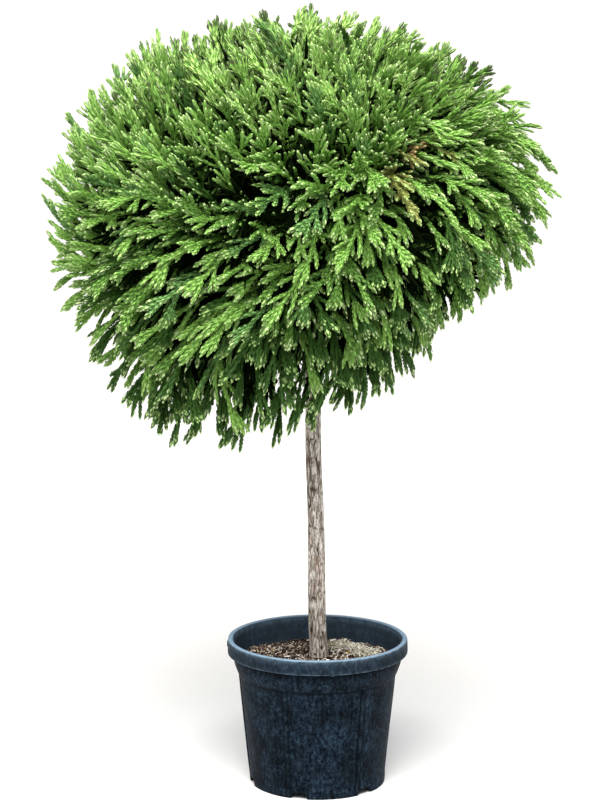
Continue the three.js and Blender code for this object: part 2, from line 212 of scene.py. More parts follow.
def join(parts):
    """Several (points, faces, slots) as one, with the faces' numbers moved on."""
    points, faces, slots = zip(*parts)
    starts = np.cumsum([0] + [len(some) for some in points[:-1]])
    moved = [some + start for some, start in zip(faces, starts)]
    return np.concatenate(points), np.concatenate(moved), np.concatenate(slots)


def tubes(paths, radii, sides):
    """Round bars along many paths at once. Each ring is centre + radius * (side * cos a + other * sin a),
    square to its path, and each end closes on a point."""
    count, steps, _ = paths.shape
    tangent = unit(np.gradient(paths, axis=1))
    lie = np.abs(unit(paths[:, -1] - paths[:, 0]))
    guide = np.eye(3)[np.argmin(lie, axis=1)][:, None, :]
    side = unit(np.cross(tangent, guide))
    other = np.cross(tangent, side)
    angle = np.arange(sides) * 2 * np.pi / sides
    spread = side[:, :, None, :] * np.cos(angle)[:, None] + other[:, :, None, :] * np.sin(angle)[:, None]
    rings = paths[:, :, None, :] + radii[:, :, None, None] * spread
    points = np.concatenate([paths[:, :1], rings.reshape(count, steps * sides, 3), paths[:, -1:]], axis=1)
    ring = np.arange(sides)
    last = 1 + (steps - 1) * sides
    wall = triangles(grid_faces(steps, sides) + 1)
    pattern = np.concatenate([wall, fan(0, 1 + ring[::-1]), fan(last + sides, last + ring)])
    faces = pattern[None] + (np.arange(count) * points.shape[1])[:, None, None]
    return points.reshape(-1, 3), faces.reshape(-1, 3)


# ---------------------------------------------------------------- materials


def node(tree, kind, inputs=None, **settings):
    """Adds one shader node, sets its own settings, and fills its inputs with constants or links."""
    made = tree.nodes.new(kind)
    for key, value in settings.items():
        setattr(made, key, value)
    for key, value in (inputs or {}).items():
        if isinstance(value, bpy.types.NodeSocket):
            tree.links.new(value, made.inputs[key])
        else:
            made.inputs[key].default_value = value
    return made


def material(name, **constants):
    """A material with one Principled shader, with the constants set on its own sockets."""
    made = bpy.data.materials.new(name)
    made.use_nodes = True
    shader = made.node_tree.nodes["Principled BSDF"]
    for key, value in constants.items():
        shader.inputs[key.replace("_", " ")].default_value = value
    return made, made.node_tree, shader


def object_noise(tree, size, detail=3.0, stretch=(1, 1, 1), roughness=0.6):
    """Noise on Object coordinates with grains of about `size` metres, drawn out on an axis by `stretch`."""
    place = node(tree, "ShaderNodeTexCoord").outputs["Object"]
    scale = tuple(1 / (size * longer) for longer in stretch)
    mapped = node(tree, "ShaderNodeMapping", {"Vector": place, "Scale": scale}).outputs["Vector"]
    inputs = {"Vector": mapped, "Scale": 1.0, "Detail": detail, "Roughness": roughness}
    return node(tree, "ShaderNodeTexNoise", inputs).outputs["Fac"]


def colour_ramp(tree, factor, stops):
    """Colours dealt along a factor, as (place, hex code) stops."""
    made = node(tree, "ShaderNodeValToRGB", {"Fac": factor})
    elements = made.color_ramp.elements
    while len(elements) < len(stops):
        elements.new(0.5)
    for element, (place, code) in zip(elements, stops):
        element.position = place
        element.color = linear(code)
    return made.outputs["Color"]


MIX_FACTOR, MIX_FIRST, MIX_SECOND, MIX_COLOUR = 0, 6, 7, 2  # a Mix node's sockets when it mixes colours


def blend(tree, factor, first, second, way="MIX"):
    """The first colour turned into the second by a factor."""
    made = node(tree, "ShaderNodeMix", data_type="RGBA", blend_type=way)
    for place, value in ((MIX_FACTOR, factor), (MIX_FIRST, first), (MIX_SECOND, second)):
        if isinstance(value, bpy.types.NodeSocket):
            tree.links.new(value, made.inputs[place])
        else:
            made.inputs[place].default_value = value
    return made.outputs[MIX_COLOUR]


def bump(tree, shader, height, distance, strength=1.0):
    """Relief too fine for the mesh, `distance` metres high."""
    made = node(tree, "ShaderNodeBump", {"Height": height, "Distance": distance, "Strength": strength})
    tree.links.new(made.outputs["Normal"], shader.inputs["Normal"])


def on_points(tree, name):
    """A value that the piece keeps on its points."""
    return node(tree, "ShaderNodeAttribute", attribute_name=name).outputs["Fac"]


# Needles of a conifer: waxy, so they have a soft gloss. The year's tips are pale. The near-black tone is
# painted shade; the dark tips and the needles' feet are painted shade too, and the deeper greens are partly
# painted shade.
GREENS = {
    "needles_painted_shade": "#0c1507",
    "needles_deep_green": "#395c23",
    "needles_mid_green": "#73a047",
    "needles_blue_green": "#6b9757",
    "needles_fresh_green": "#88b257",
    "needles_yellow_green": "#bde083",
    "young_tips_soft_green": "#9fbe72",
    "young_tips_pale": "#abc084",
    "crest_tips_painted_shade": "#4a5236",
    "dry_straw_needles": "#b09c6a",
    "needles_tired_olive": "#8d9250",
    "needle_feet_painted_shade": "#557a36",
}
TONES = list(GREENS)
SHADE, DEEP, MID, BLUE, FRESH, YELLOW, TIP, PALE, SHADED_TIP, STRAW, OLIVE, FEET = range(len(TONES))
NEEDLE_GLOSS, NEEDLE_ROUGHNESS = 0.22, 0.55


def needle_finish(name, code):
    """One plain tone of needles. The near-black tone of painted shade has no gloss, so that it stays dark."""
    gloss = 0.0 if name == TONES[SHADE] else NEEDLE_GLOSS
    return material(name, Base_Color=linear(code), Roughness=NEEDLE_ROUGHNESS, Specular_IOR_Level=gloss)[0]


def twig_finish():
    """Bark of young twigs: thin, dull and brown. It shows as dark threads inside."""
    made, tree, shader = material("young_twig_bark", Roughness=0.8)
    grain = object_noise(tree, 30 * MM)
    brown = colour_ramp(tree, grain, [(0.35, "#2d2216"), (0.65, "#5b4a2c")])
    tree.links.new(brown, shader.inputs["Base Color"])
    return made


def bark_finish():
    """Fibrous grey bark that weathers to pale strips, dark in its fissures, with rust-brown inner bark where
    strips have come off. Dull, with a fine fibre up and down."""
    made, tree, shader = material("fibrous_grey_bark", Roughness=0.9, Specular_IOR_Level=0.2)
    strips = object_noise(tree, 4 * MM, 4.0, (1, 1, 5))
    patches = object_noise(tree, 30 * MM, 2.0, (1, 1, 3))
    fibre = object_noise(tree, 1.4 * MM, 3.0, (1, 1, 9))
    pale = colour_ramp(tree, strips, [(0.30, "#66574b"), (0.46, "#a0968b"), (0.62, "#dad5cd")])
    rust = colour_ramp(tree, patches, [(0.60, "#ffffff"), (0.74, "#b8907c")])
    weathered = blend(tree, 1.0, pale, rust, "MULTIPLY")
    cracked = blend(tree, on_points(tree, "fissure"), weathered, linear("#33261c"))
    tree.links.new(cracked, shader.inputs["Base Color"])
    bump(tree, shader, fibre, 0.6 * MM, 0.6)
    return made


def pot_finish():
    """Blow-moulded polypropylene, dark slate blue: satin where it is clean, mottled with dried splashes,
    and dull under the dust that lies in runs down the wall and along its edges. The rim is paler where it is
    worn and where highlights are painted on, and painted shade darkens the grooves, the step and under the
    rim."""
    made, tree, shader = material("slate_polypropylene", Specular_IOR_Level=0.03)
    blotches = object_noise(tree, 45 * MM, 4.0)
    mottle = object_noise(tree, 6.2 * MM, 7.0, (1, 1, 1.5), 0.8)
    runs = object_noise(tree, 10 * MM, 5.0, (1, 1, 6), 0.7)
    specks = object_noise(tree, 2.6 * MM, 2.0)
    mottled = colour_ramp(tree, mottle, [(0.39, "#01040a"), (0.50, "#0f1b28"), (0.64, "#314250")])
    shaded = colour_ramp(tree, blotches, [(0.36, "#8c8c8c"), (0.64, "#ffffff")])
    clean = blend(tree, 1.0, mottled, shaded, "MULTIPLY")
    dust = colour_ramp(tree, runs, [(0.48, "#000000"), (0.72, "#808080")])
    dusty = blend(tree, dust, clean, linear("#384958"))
    fleck = colour_ramp(tree, specks, [(0.66, "#000000"), (0.75, "#707070")])
    flecked = blend(tree, fleck, dusty, linear("#6f7c80"))
    # Paler where worn, with painted highlights on the rim's bends and lip and painted light on its face.
    worn_and_highlit = blend(tree, on_points(tree, "wear_and_highlight"), flecked, linear("#93aec6"))
    # Painted shade in the grooves, under the step and under the rim.
    crease_shaded = blend(tree, on_points(tree, "painted_crease_shade"), worn_and_highlit, linear("#02060a"))
    tree.links.new(crease_shaded, shader.inputs["Base Color"])
    spans = {"From Min": 0.35, "From Max": 0.7, "To Min": 0.42, "To Max": 0.7}
    rough = node(tree, "ShaderNodeMapRange", {"Value": runs, **spans}).outputs["Result"]
    tree.links.new(rough, shader.inputs["Roughness"])
    bump(tree, shader, object_noise(tree, 6 * MM, 4.0), 0.9 * MM, 0.5)
    return made


def soil_finish():
    """Damp composted bark and peat: dark brown, crumbly and without gloss."""
    made, tree, shader = material("composted_bark_mix", Roughness=0.95, Specular_IOR_Level=0.15)
    crumbs = object_noise(tree, 5 * MM, 5.0)
    brown = colour_ramp(tree, crumbs, [(0.38, "#060303"), (0.52, "#3d302a"), (0.68, "#93816f")])
    tree.links.new(brown, shader.inputs["Base Color"])
    bump(tree, shader, crumbs, 3 * MM)
    return made


def plain(name, code, roughness=0.9):
    """A dull natural thing that is small enough to have one colour of its own."""
    return material(name, Base_Color=linear(code), Roughness=roughness, Specular_IOR_Level=0.2)[0]


# ---------------------------------------------------------------- where the crown reaches


def outward(bearing, rise):
    """The direction at a bearing round the trunk and a rise above the level, both in radians."""
    level = np.cos(rise)
    up = np.sin(rise) + 0 * bearing
    return np.stack([level * np.cos(bearing), level * np.sin(bearing), up], axis=-1)


def crown_reach(bearing, rise):
    """How far the foliage reaches. Above the middle it is a rounded dome: (wide^n + high^n)^(-1/n), with
    SQUARENESS for n. Below the middle a fringe hangs lower on one side and closes towards the trunk. A bell
    curve takes a slight waist out of both."""
    wide = np.cos(rise) / CROWN_SIDE
    high = np.maximum(np.sin(rise), 0) / CROWN_TOP
    dome = (wide**SQUARENESS + high**SQUARENESS) ** (-1 / SQUARENESS)
    hanging = FRINGE - FRINGE_LEAN * np.cos(bearing)
    below = mix(CROWN_SIDE, hanging, ramp(-rise, 0, FRINGE_FALL))
    below = mix(below, UNDERSIDE, ramp(-rise, CLOSING_FALL, math.pi / 2))
    waist = WAIST * np.exp(-(((rise - WAIST_RISE) / WAIST_HEIGHT) ** 2))
    return np.where(rise >= 0, dome, below) * (1 - waist)


def crown_point(bearing, rise, reach):
    """A point of the crown at a bearing, a rise and a distance from its middle."""
    return CROWN_MIDDLE + outward(bearing, rise) * np.asarray(reach)[..., None]


def crown_cells():
    """The masses, each with the space between two bearings and two rises that it keeps to. The
    boughs of a ring root at steps up the trunk, neighbours never at the same height."""
    cells = []
    for ring in RINGS:
        low, high = math.radians(ring["low"]), math.radians(ring["high"])
        count = ring["masses"]
        half = math.pi / count
        for i in range(count):
            alone = count == 1
            step = (2 * i) % count - (count - 1) / 2
            cells.append(
                dict(
                    name=ring["name"] if alone else f"{ring['name']}_{i + 1}",
                    ring=ring["name"],
                    low=low,
                    high=high,
                    half=half,
                    bearing=math.radians(ring["turn"]) + 2 * half * i,
                    rise=high if alone else (low + high) / 2,
                    sprays=ring["sprays"],
                    root=None if alone else ring["root"] + step * ROOT_STEP,
                    seed=len(cells) + 1,
                )
            )
    return cells


def draws(seed, count):
    """Four numbers from 0 to 1 for each of the sprays, spread evenly: steps of the powers of DEAL."""
    power = DEAL ** np.arange(1, 5)
    return (seed * GOLDEN + (np.arange(count)[:, None] + 1) / power) % 1


def again(draw, times):
    """Another number from 0 to 1 out of a first: the fraction of a whole multiple of it."""
    return draw * times % 1


def places_in(cell, u, v):
    """The rise and bearing of places spread evenly over a mass's space, from two draws for each."""
    rise = np.arcsin(mix(np.sin(cell["low"]), np.sin(cell["high"]), v))
    return rise, cell["bearing"] + cell["half"] * (2 * u - 1)


def hollow(bearing, rise):
    """How much a place lies in the thin patch, from 0 to 1: a bell curve both ways."""
    aside = np.angle(np.exp(1j * (bearing - HOLLOW_BEARING)))
    return np.exp(-((aside / HOLLOW_WIDTH) ** 2) - ((rise - HOLLOW_RISE) / HOLLOW_HEIGHT) ** 2)


def wave(direction, phase):
    """A slow wave over the crown, from -1 to 1: the product of two sines of the direction."""
    x, y, z = direction.T
    return np.sin(5.3 * x + 2.1 * y + phase) * np.sin(4.7 * y - 3.9 * z + 2 * phase)


def combed(bearing, rise):
    """How far a spray leans aside from the parting on the front: most at COMB_WIDTH to either side of it,
    more on the longer side, and not at all at the foot of the skirt."""
    aside = np.angle(np.exp(1j * (bearing - PARTING))) / COMB_WIDTH
    hump = aside * np.exp(0.5 - 0.5 * aside**2)
    return (COMB * hump - COMB_LEAN * np.abs(hump)) * ramp(rise, UNCOMBED, FULLY_COMBED)


def spray_lines(cell, count, full):
    """The curving line of each spray, from a foot inside, over a knee, to a tip at the crown's surface. It
    sets out straight from the middle and ends the way that ENDINGS says for its place. `full` is the tips'
    share of the reach, by a draw from 0 to 1."""
    u, v, w, roll = draws(cell["seed"], count).T
    rise, bearing = places_in(cell, u, v)
    way = outward(bearing, rise)
    across = np.stack([-np.sin(bearing), np.cos(bearing), 0 * bearing], axis=-1)
    share = full(w) * (1 - HOLLOW_DEPTH * hollow(bearing, rise))
    tip = crown_point(bearing, rise, crown_reach(bearing, rise) * share)
    place = np.degrees(rise) - PLACE_LEAN * np.cos(bearing) + PLACE_WAVE * wave(way, 1)
    ending = np.radians(np.interp(place, PLACES, ENDINGS) + ENDING_SPREAD * (again(roll, 11) - 0.5))
    sway = SWAY_WAVE * wave(way, 2) + SWAY * (again(roll, 7) - 0.5) + combed(bearing, rise)
    end = unit(outward(bearing, ending) + across * sway[:, None])
    start = unit(outward(bearing, np.maximum(rise, STEEPEST_START)) - across * sway[:, None] / SWAY_BACK)
    length = mix(LONG_SPRAY, SHORT_SPRAY, ramp(rise, LONG_BELOW, SHORT_ABOVE))[:, None]
    knee = tip - end * length * BEYOND_KNEE
    foot = knee - start * length * (1 - BEYOND_KNEE)
    return foot, knee, tip, across, roll, rise, bearing


# ---------------------------------------------------------------- sprays


CORE, NEEDLE, YOUNG = range(3)  # kinds of face on a shoot

# A shoot's own line has three-sided rings at these shares of its length, with these shares of its thickness.
RING_PLACES = np.array([0.06, 0.5, 0.93])
RING_GIRTHS = np.array([0.85, 1.0, 0.85])

# Its needles: whorls stand between these shares of its length. A needle is so many steps between whorls long.
# Its foot, shoulder and point lie at these shares of the shoot's thickness from its middle.
FIRST_WHORL, LAST_WHORL = 0.02, 0.82
NEEDLE_STEPS, NEEDLE_SHOULDER = 1.35, 0.55
FOOT_OUT, SHOULDER_OUT, POINT_OUT, LAST_POINT_OUT = 0.3, 1.12, 1.32, 1.0
NEEDLE_WIDTH = 0.68  # half of it, as such a share too

# Shoots on a spray, in metres and degrees.
FIRST_SHOOT, LAST_SHOOT, SHOOT_JITTER = 0.08, 0.94, 0.004  # places in shares of the axis, moved by a jitter
SHOOT_FORK, SHOOT_TILT, SHOOT_RADIUS = (26, 44), 18, 0.0032
SHOOT_LENGTHS, SHOOT_SHARES = (0.058, 0.036), (0.7, 1.2)  # at the spray's foot and tip, and how they differ
TIP_STRETCH = 0.4  # the stretch of the shoots fades to this power of itself at the spray's tip
BRANCHLET_PLACE, BRANCHLET_LENGTH, BRANCHLET_RADIUS = 0.34, 0.62, 0.0031  # two shares of the shoot, metres
BRANCHLET_FORK, BRANCHLET_TILT, BRANCHLET_SHARES = (26, 40), 20, (0.8, 1.15)
FAN_ANGLES, FAN_JITTER, FAN_TILT, FAN_LENGTHS = (-27, 3, 25), 5, 12, (0.032, 0.046)
LINKS, LINK_OVERLAP, LINK_RADIUS = 3, 1.1, 0.0034  # the ropes of the axis
FORWARD_CURL, INWARD_CURL, BACK_CURL = 0.03, 0.10, 0.05  # how a shoot bends, in shares of its length
GIRTH_SHARES = (0.88, 1.12)
ARCH = 1.8  # the spray's edges lie lower by this times their distance squared

# A near-black fan of painted shade, in the form of old needles.
BLADES, BLADE_SPREAD, BLADE_JITTER, BLADE_TILT = 12, math.radians(66), 0.1, 0.5
BLADE_LENGTHS, BLADE_WIDTH, BLADE_WIDEST = (0.05, 0.10), 0.0042, 0.55


def ropes(root, reach, curl, radius, turn, whorls, young):
    """Shoots clothed in needles. A shoot's line is root + reach t + curl t^2. Three-sided rings stand on it,
    and it closes on a point at both ends. Round it stand whorls of three flat needles, each a kite of two
    faces that starts inside the shoot and leans forward and out. The faces are of kind CORE, NEEDLE or
    YOUNG, the last only on the tips of `young` shoots."""
    count = len(root)
    side = unit(np.cross(unit(reach), [0.03, 0.02, 1.0]))
    other = np.cross(unit(reach), side)

    def around(angle):
        each = (count,) + (1,) * (angle.ndim - 1) + (3,)
        return np.cos(angle)[..., None] * side.reshape(each) + np.sin(angle)[..., None] * other.reshape(each)

    def spine(t):
        t = np.asarray(t)[None, :, None]
        return root[:, None] + reach[:, None] * t + curl[:, None] * t**2

    third = 2 * np.pi / 3 * np.arange(3)
    thick = radius[:, None, None, None]
    corners = around(turn[:, None, None] + third)
    rings = spine(RING_PLACES)[:, :, None] + RING_GIRTHS[:, None, None] * thick * corners
    stem = np.concatenate([spine([0.0]), rings.reshape(count, 9, 3), spine([1.0])], axis=1)
    wall = triangles(grid_faces(3, 3) + 1)
    foot, head = fan(0, np.array([3, 2, 1])), fan(10, np.array([7, 8, 9]))
    points, patterns = [stem], [foot, wall, head]
    kinds = [np.full(len(foot) + len(wall), CORE), np.full(len(head), YOUNG)]
    if whorls:
        order = np.arange(whorls)
        last = order == whorls - 1
        start = FIRST_WHORL + (LAST_WHORL - FIRST_WHORL) * order / whorls
        span = NEEDLE_STEPS / whorls
        reached = np.where(last, LAST_POINT_OUT, POINT_OUT)[None, :, None, None]
        angle = turn[:, None, None] + third + (np.pi / 3 * order)[None, :, None]
        out, flat = around(angle), around(angle + np.pi / 2)
        base = spine(start)[:, :, None] + FOOT_OUT * thick * out
        shoulder = spine(start + NEEDLE_SHOULDER * span)[:, :, None] + SHOULDER_OUT * thick * out
        point = spine(np.minimum(start + span, 1.0))[:, :, None] + reached * thick * out
        half = NEEDLE_WIDTH * thick * flat
        kite = np.stack([base, shoulder + half, point, shoulder - half], axis=3)
        points.append(kite.reshape(count, whorls * 12, 3))
        first = stem.shape[1] + 4 * np.arange(whorls * 3)[:, None]
        patterns.append(triangles(first + np.arange(4)))
        kinds.append(np.tile(np.where(np.repeat(last, 3), YOUNG, NEEDLE), 2))
    points = np.concatenate(points, axis=1)
    pattern = np.concatenate(patterns)
    faces = pattern[None] + (np.arange(count) * points.shape[1])[:, None, None]
    kind = np.minimum(np.concatenate(kinds)[None], np.where(young, YOUNG, NEEDLE)[:, None])
    return points.reshape(-1, 3), faces.reshape(-1, 3), kind.ravel()


def headed(angle, lean, size):
    """Lines of a size that lie at an angle in a spray's plane and lean out of it."""
    level = np.cos(lean)
    return np.stack([level * np.cos(angle), level * np.sin(angle), np.sin(lean)], axis=-1) * size[:, None]


def curled(angle, size):
    """The bend of shoots at an angle: forward, back towards their axis, and off the spray's face."""
    curl = (FORWARD_CURL * size, -np.sign(angle) * INWARD_CURL * size, -BACK_CURL * size)
    return np.stack(curl, axis=-1)


def degrees_drawn(rng, spread, count):
    """Angles drawn up to a spread in degrees to either side of 0, in radians."""
    return np.radians(rng.uniform(-spread, spread, count))


def spray_kit(seed, whorls, girth, opening=1.0, shoots=10, stretch=1.0, forks=2):
    """One flat spray that lies along x and faces z: an axis of ropes end to end, alternate shoots that sweep
    forward from it and shorten towards its tip, a branchlet on some of them, and a fan of three at the end.
    Its edges curl back from the face. `opening` widens or narrows all its forks, `stretch` draws out the
    shoots, and `forks` of every five have a branchlet."""
    rng = np.random.default_rng(seed)
    order = np.arange(shoots)
    place = SPRAY_LENGTH * mix(FIRST_SHOOT, LAST_SHOOT, order / (shoots - 1))
    place = place + rng.uniform(-SHOOT_JITTER, SHOOT_JITTER, shoots)
    share = place / SPRAY_LENGTH
    hand = np.where((order + seed) % 2, 1.0, -1.0)
    fork = np.radians(rng.uniform(*SHOOT_FORK, shoots)) * hand * opening
    tilt = degrees_drawn(rng, SHOOT_TILT, shoots)
    length = mix(*SHOOT_LENGTHS, share) * rng.uniform(*SHOOT_SHARES, shoots)
    length = length * mix(stretch, stretch**TIP_STRETCH, share)
    root = np.stack([place, 0 * place, 0 * place], axis=-1)
    reach, curl = headed(fork, tilt, length), curled(fork, length)
    groups = [(root, reach, curl, SHOOT_RADIUS)]

    forked = (order + seed) % 5 < forks
    angle = (fork + hand * np.radians(rng.uniform(*BRANCHLET_FORK, shoots)) * opening)[forked]
    size = (length * BRANCHLET_LENGTH * rng.uniform(*BRANCHLET_SHARES, shoots))[forked]
    start = (root + reach * BRANCHLET_PLACE + curl * BRANCHLET_PLACE**2)[forked]
    lean = (tilt + degrees_drawn(rng, BRANCHLET_TILT, shoots))[forked]
    groups.append((start, headed(angle, lean, size), curled(angle, size), BRANCHLET_RADIUS))

    ways = len(FAN_ANGLES)
    angle = (np.radians(FAN_ANGLES) + degrees_drawn(rng, FAN_JITTER, ways)) * opening
    size = rng.uniform(*FAN_LENGTHS, ways)
    end = np.tile([SPRAY_LENGTH, 0.0, 0.0], (ways, 1))
    lean = degrees_drawn(rng, FAN_TILT, ways)
    groups.append((end, headed(angle, lean, size), curled(angle, size), SHOOT_RADIUS))

    starts = SPRAY_LENGTH * np.arange(LINKS) / LINKS
    axis = np.stack([starts, 0 * starts, 0 * starts], axis=-1)
    onward = np.tile([SPRAY_LENGTH / LINKS * LINK_OVERLAP, 0.0, 0.0], (LINKS, 1))
    groups.append((axis, onward, 0 * onward, LINK_RADIUS))

    roots, reaches, curls = (np.concatenate([group[i] for group in groups]) for i in range(3))
    radius = np.concatenate([np.full(len(group[0]), group[3]) for group in groups]) * girth
    radius = radius * rng.uniform(*GIRTH_SHARES, len(radius))
    young = np.arange(len(roots)) < len(roots) - LINKS
    turn = rng.uniform(0, 2 * np.pi, len(roots))
    points, faces, kinds = ropes(roots, reaches, curls, radius, turn, whorls, young)
    points[:, 2] -= ARCH * points[:, 1] ** 2
    return points, faces, kinds


def shade_kit(seed):
    """A near-black fan inside the crown, painted shade in the form of old needles: narrow blades of two faces
    each, spread from one foot.
    """
    rng = np.random.default_rng(seed)
    spread = np.linspace(-BLADE_SPREAD, BLADE_SPREAD, BLADES)
    angle = spread + rng.uniform(-BLADE_JITTER, BLADE_JITTER, BLADES)
    length = rng.uniform(*BLADE_LENGTHS, BLADES)
    lift = rng.uniform(-BLADE_TILT, BLADE_TILT, BLADES)
    heading = np.stack([np.cos(angle), np.sin(angle), lift], axis=-1)
    half = BLADE_WIDTH * np.stack([-np.sin(angle), np.cos(angle), 0 * angle], axis=-1)
    tip = heading * length[:, None]
    middle = tip * BLADE_WIDEST
    kite = np.stack([0 * tip, middle - half, tip, middle + half], axis=1)
    faces = triangles(4 * np.arange(BLADES)[:, None] + np.arange(4))
    return kite.reshape(-1, 3), faces, np.full(len(faces), CORE)


def curve_point(foot, knee, tip, t):
    """A point at t on the line that leaves foot towards knee and arrives at tip from it."""
    return (1 - t) ** 2 * foot + 2 * t * (1 - t) * knee + t**2 * tip


def curve_slope(foot, knee, tip, t):
    """The direction of that line at t."""
    return unit(2 * (1 - t) * (knee - foot) + 2 * t * (tip - knee))


def lay(kit, lines, across, width):
    """Copies of a kit bent along lines: its x runs along the line, its y across it, and its z out of both."""
    points, faces, kinds = kit
    foot, knee, tip = (end[:, None, :] for end in lines)
    t = (points[:, 0] / SPRAY_REACH)[None, :, None]
    slope = curve_slope(foot, knee, tip, t)
    sideways = across[:, None, :]
    sideways = unit(sideways - slope * (sideways * slope).sum(-1, keepdims=True))
    face = np.cross(slope, sideways)
    aside = sideways * points[None, :, 1:2] + face * points[None, :, 2:3]
    placed = curve_point(foot, knee, tip, t) + width[:, None, None] * aside
    numbered = faces[None] + (np.arange(len(foot)) * len(points))[:, None, None]
    return placed.reshape(-1, 3), numbered.reshape(-1, 3), np.tile(kinds, (len(foot), 1))


def turned_about(vectors, axis, angle):
    """Vectors turned about axes by angles: v cos a + (k x v) sin a + k (k.v)(1 - cos a)."""
    c, s = np.cos(angle)[:, None], np.sin(angle)[:, None]
    along = axis * (axis * vectors).sum(-1, keepdims=True)
    return vectors * c + np.cross(axis, vectors) * s + along * (1 - c)


# How tones are dealt out, in shares of the sprays. A spray's height runs from -1 at the skirt's foot to 1 at
# the crest, and is drawn up to half of HEIGHT_SPREAD above or below its place.
HEIGHT_SPREAD = 0.5
# Paler at the crest and deeper down the skirt: partly the growth's own tone, partly painted light at the top
# and painted shade below.
YELLOW_ABOVE = 0.7
MID_SHARES, MID_HEIGHTS = (0.75, 0.22), (-0.65, 0.0)  # from the first to the second, between two heights
DEEP_SHARES, DEEP_HEIGHTS = (0.9, 0.02), (-0.72, 0.02)
BLUE_SHARE, SOFT_TIPS = 0.1, 0.55
SHADED_TIPS_FROM, SHADED_TIP_SHARE = math.radians(36), 0.42  # tips painted in shade above a rise, as on the crest's shaded far side
INNER_HEIGHT = -0.2  # above it most inner sprays are deep green, some with mid-green tips; below it most are near-black painted shade
INNER_LIT_ABOVE, INNER_LIT_BELOW, INNER_TIPS = 0.9, 0.1, 0.6
THIN_SOFTNESS, TIRED_FROM, DRY_FROM = 0.6, 0.24, 0.45  # for the thin patch


def dealt_tones(rise, thin, pick, shaded):
    """The tones of each spray's cores, needles and young tips, in a row for each. The top is fresher and
    paler, partly as painted light, and the skirt deeper, partly as painted shade; the cores, some crest tips
    and the inner sprays are painted shade. In the thin patch some are tired or dry. `pick` is one draw for
    each."""
    height = np.sin(rise) + HEIGHT_SPREAD * (pick - 0.5)
    body = np.where(height > YELLOW_ABOVE, YELLOW, FRESH)
    body = np.where(again(pick, 7) < mix(*MID_SHARES, ramp(height, *MID_HEIGHTS)), MID, body)
    body = np.where(again(pick, 23) < mix(*DEEP_SHARES, ramp(height, *DEEP_HEIGHTS)), DEEP, body)
    body = np.where(again(pick, 13) < BLUE_SHARE, BLUE, body)
    tip = np.where(again(pick, 11) < SOFT_TIPS, TIP, PALE)
    # Painted shade: dark tips high on the crest, as on its shaded far side.
    tip = np.where((rise > SHADED_TIPS_FROM) & (again(pick, 19) < SHADED_TIP_SHARE), SHADED_TIP, tip)
    # The cores take a tone a step darker than their needles: painted shade at the needles' feet.
    core = np.where((body == YELLOW) | (body == FRESH), MID, np.where(body == DEEP, DEEP, FEET))
    # Inner sprays are deep green or near-black painted shade.
    if shaded:
        dim = again(pick, 5)
        high = height > INNER_HEIGHT
        core = body = np.where(dim < np.where(high, INNER_LIT_ABOVE, INNER_LIT_BELOW), DEEP, SHADE)
        tip = np.where((dim < INNER_TIPS) & high, MID, body)
    patch = thin**THIN_SOFTNESS
    tired = patch * again(pick, 29) > TIRED_FROM
    core, body = np.where(tired, OLIVE, core), np.where(tired, OLIVE, body)
    dry = patch * again(pick, 17) > DRY_FROM
    return np.where(dry[:, None], STRAW, np.stack([core, body, tip], axis=1))


def kits_of(whorls, girth, **habit):
    """The different sprays of one sort."""
    return [spray_kit(seed, whorls, girth, **habit) for seed in range(SPRAY_KITS)]


fine_kits = kits_of(4, 0.84, opening=0.74, shoots=7, stretch=1.5)
open_kits = kits_of(6, 1.04, opening=0.8, shoots=6, stretch=1.55, forks=1)
hanging_kits = kits_of(7, 1.04, opening=0.66, shoots=4, stretch=1.8, forks=1)
plain_kits = kits_of(0, 1.35)
shade_kits = [shade_kit(seed) for seed in range(SPRAY_KITS)]

# The kits of each ring's outer sprays, how many of them grow for each spray of the solids, and how far the
# longest reach, as a share of the crown's reach. Upright shoots stand out past their sprays' tips.
OUTER_KITS = {
    "top": (fine_kits, 9, 0.975),
    "upper": (fine_kits, 8, 1.0),
    "middle": (open_kits, 5, 1.0),
    "skirt": (hanging_kits, 5, 1.0),
}
INNER_REACH = 0.86
OUTER_DEPTH, INNER_DEPTH = 0.14, 0.12  # how much less than the longest the shortest sprays reach
SPRAY_ROLL, ROLLED_AT = 1.5, 0.7  # radians that a spray's face may turn about its line, as it lies here
SPRAY_WIDTHS = (0.9, 1.2)

# The near-black fans of painted shade: how deep they stand, in shares of the reach, and deeper under the
# skirt.
NEAREST_FAN, SKIRT_FANS, OTHER_FANS = 0.40, 0.56, 0.74
DEEP_FROM, SHALLOW_FROM = math.radians(-35), math.radians(5)
FAN_OUTWARD, FAN_SCATTER, FAN_DROOP = 0.6, 0.5, np.array([0, 0, -0.25])


def deal_sprays(cell, count, kits, full, shaded):
    """The sprays of one mass as (points, faces, slots), and the lines that they grow on."""
    foot, knee, tip, across, roll, rise, bearing = spray_lines(cell, count, full)
    rng = np.random.default_rng(cell["seed"] * 100 + count)
    middle = curve_slope(foot, knee, tip, ROLLED_AT)
    across = turned_about(across, middle, (roll - 0.5) * SPRAY_ROLL)
    width = rng.uniform(*SPRAY_WIDTHS, count)
    pick = rng.random(count)
    which = (np.arange(count) + cell["seed"]) % len(kits)
    tones = dealt_tones(rise, hollow(bearing, rise), pick, shaded)
    parts = []
    for k, kit in enumerate(kits):
        chosen = which == k
        if not chosen.any():
            continue
        lines = (foot[chosen], knee[chosen], tip[chosen])
        points, faces, kinds = lay(kit, lines, across[chosen], width[chosen])
        parts.append((points, faces, np.take_along_axis(tones[chosen], kinds, axis=1).ravel()))
    return join(parts), (foot, knee, tip)


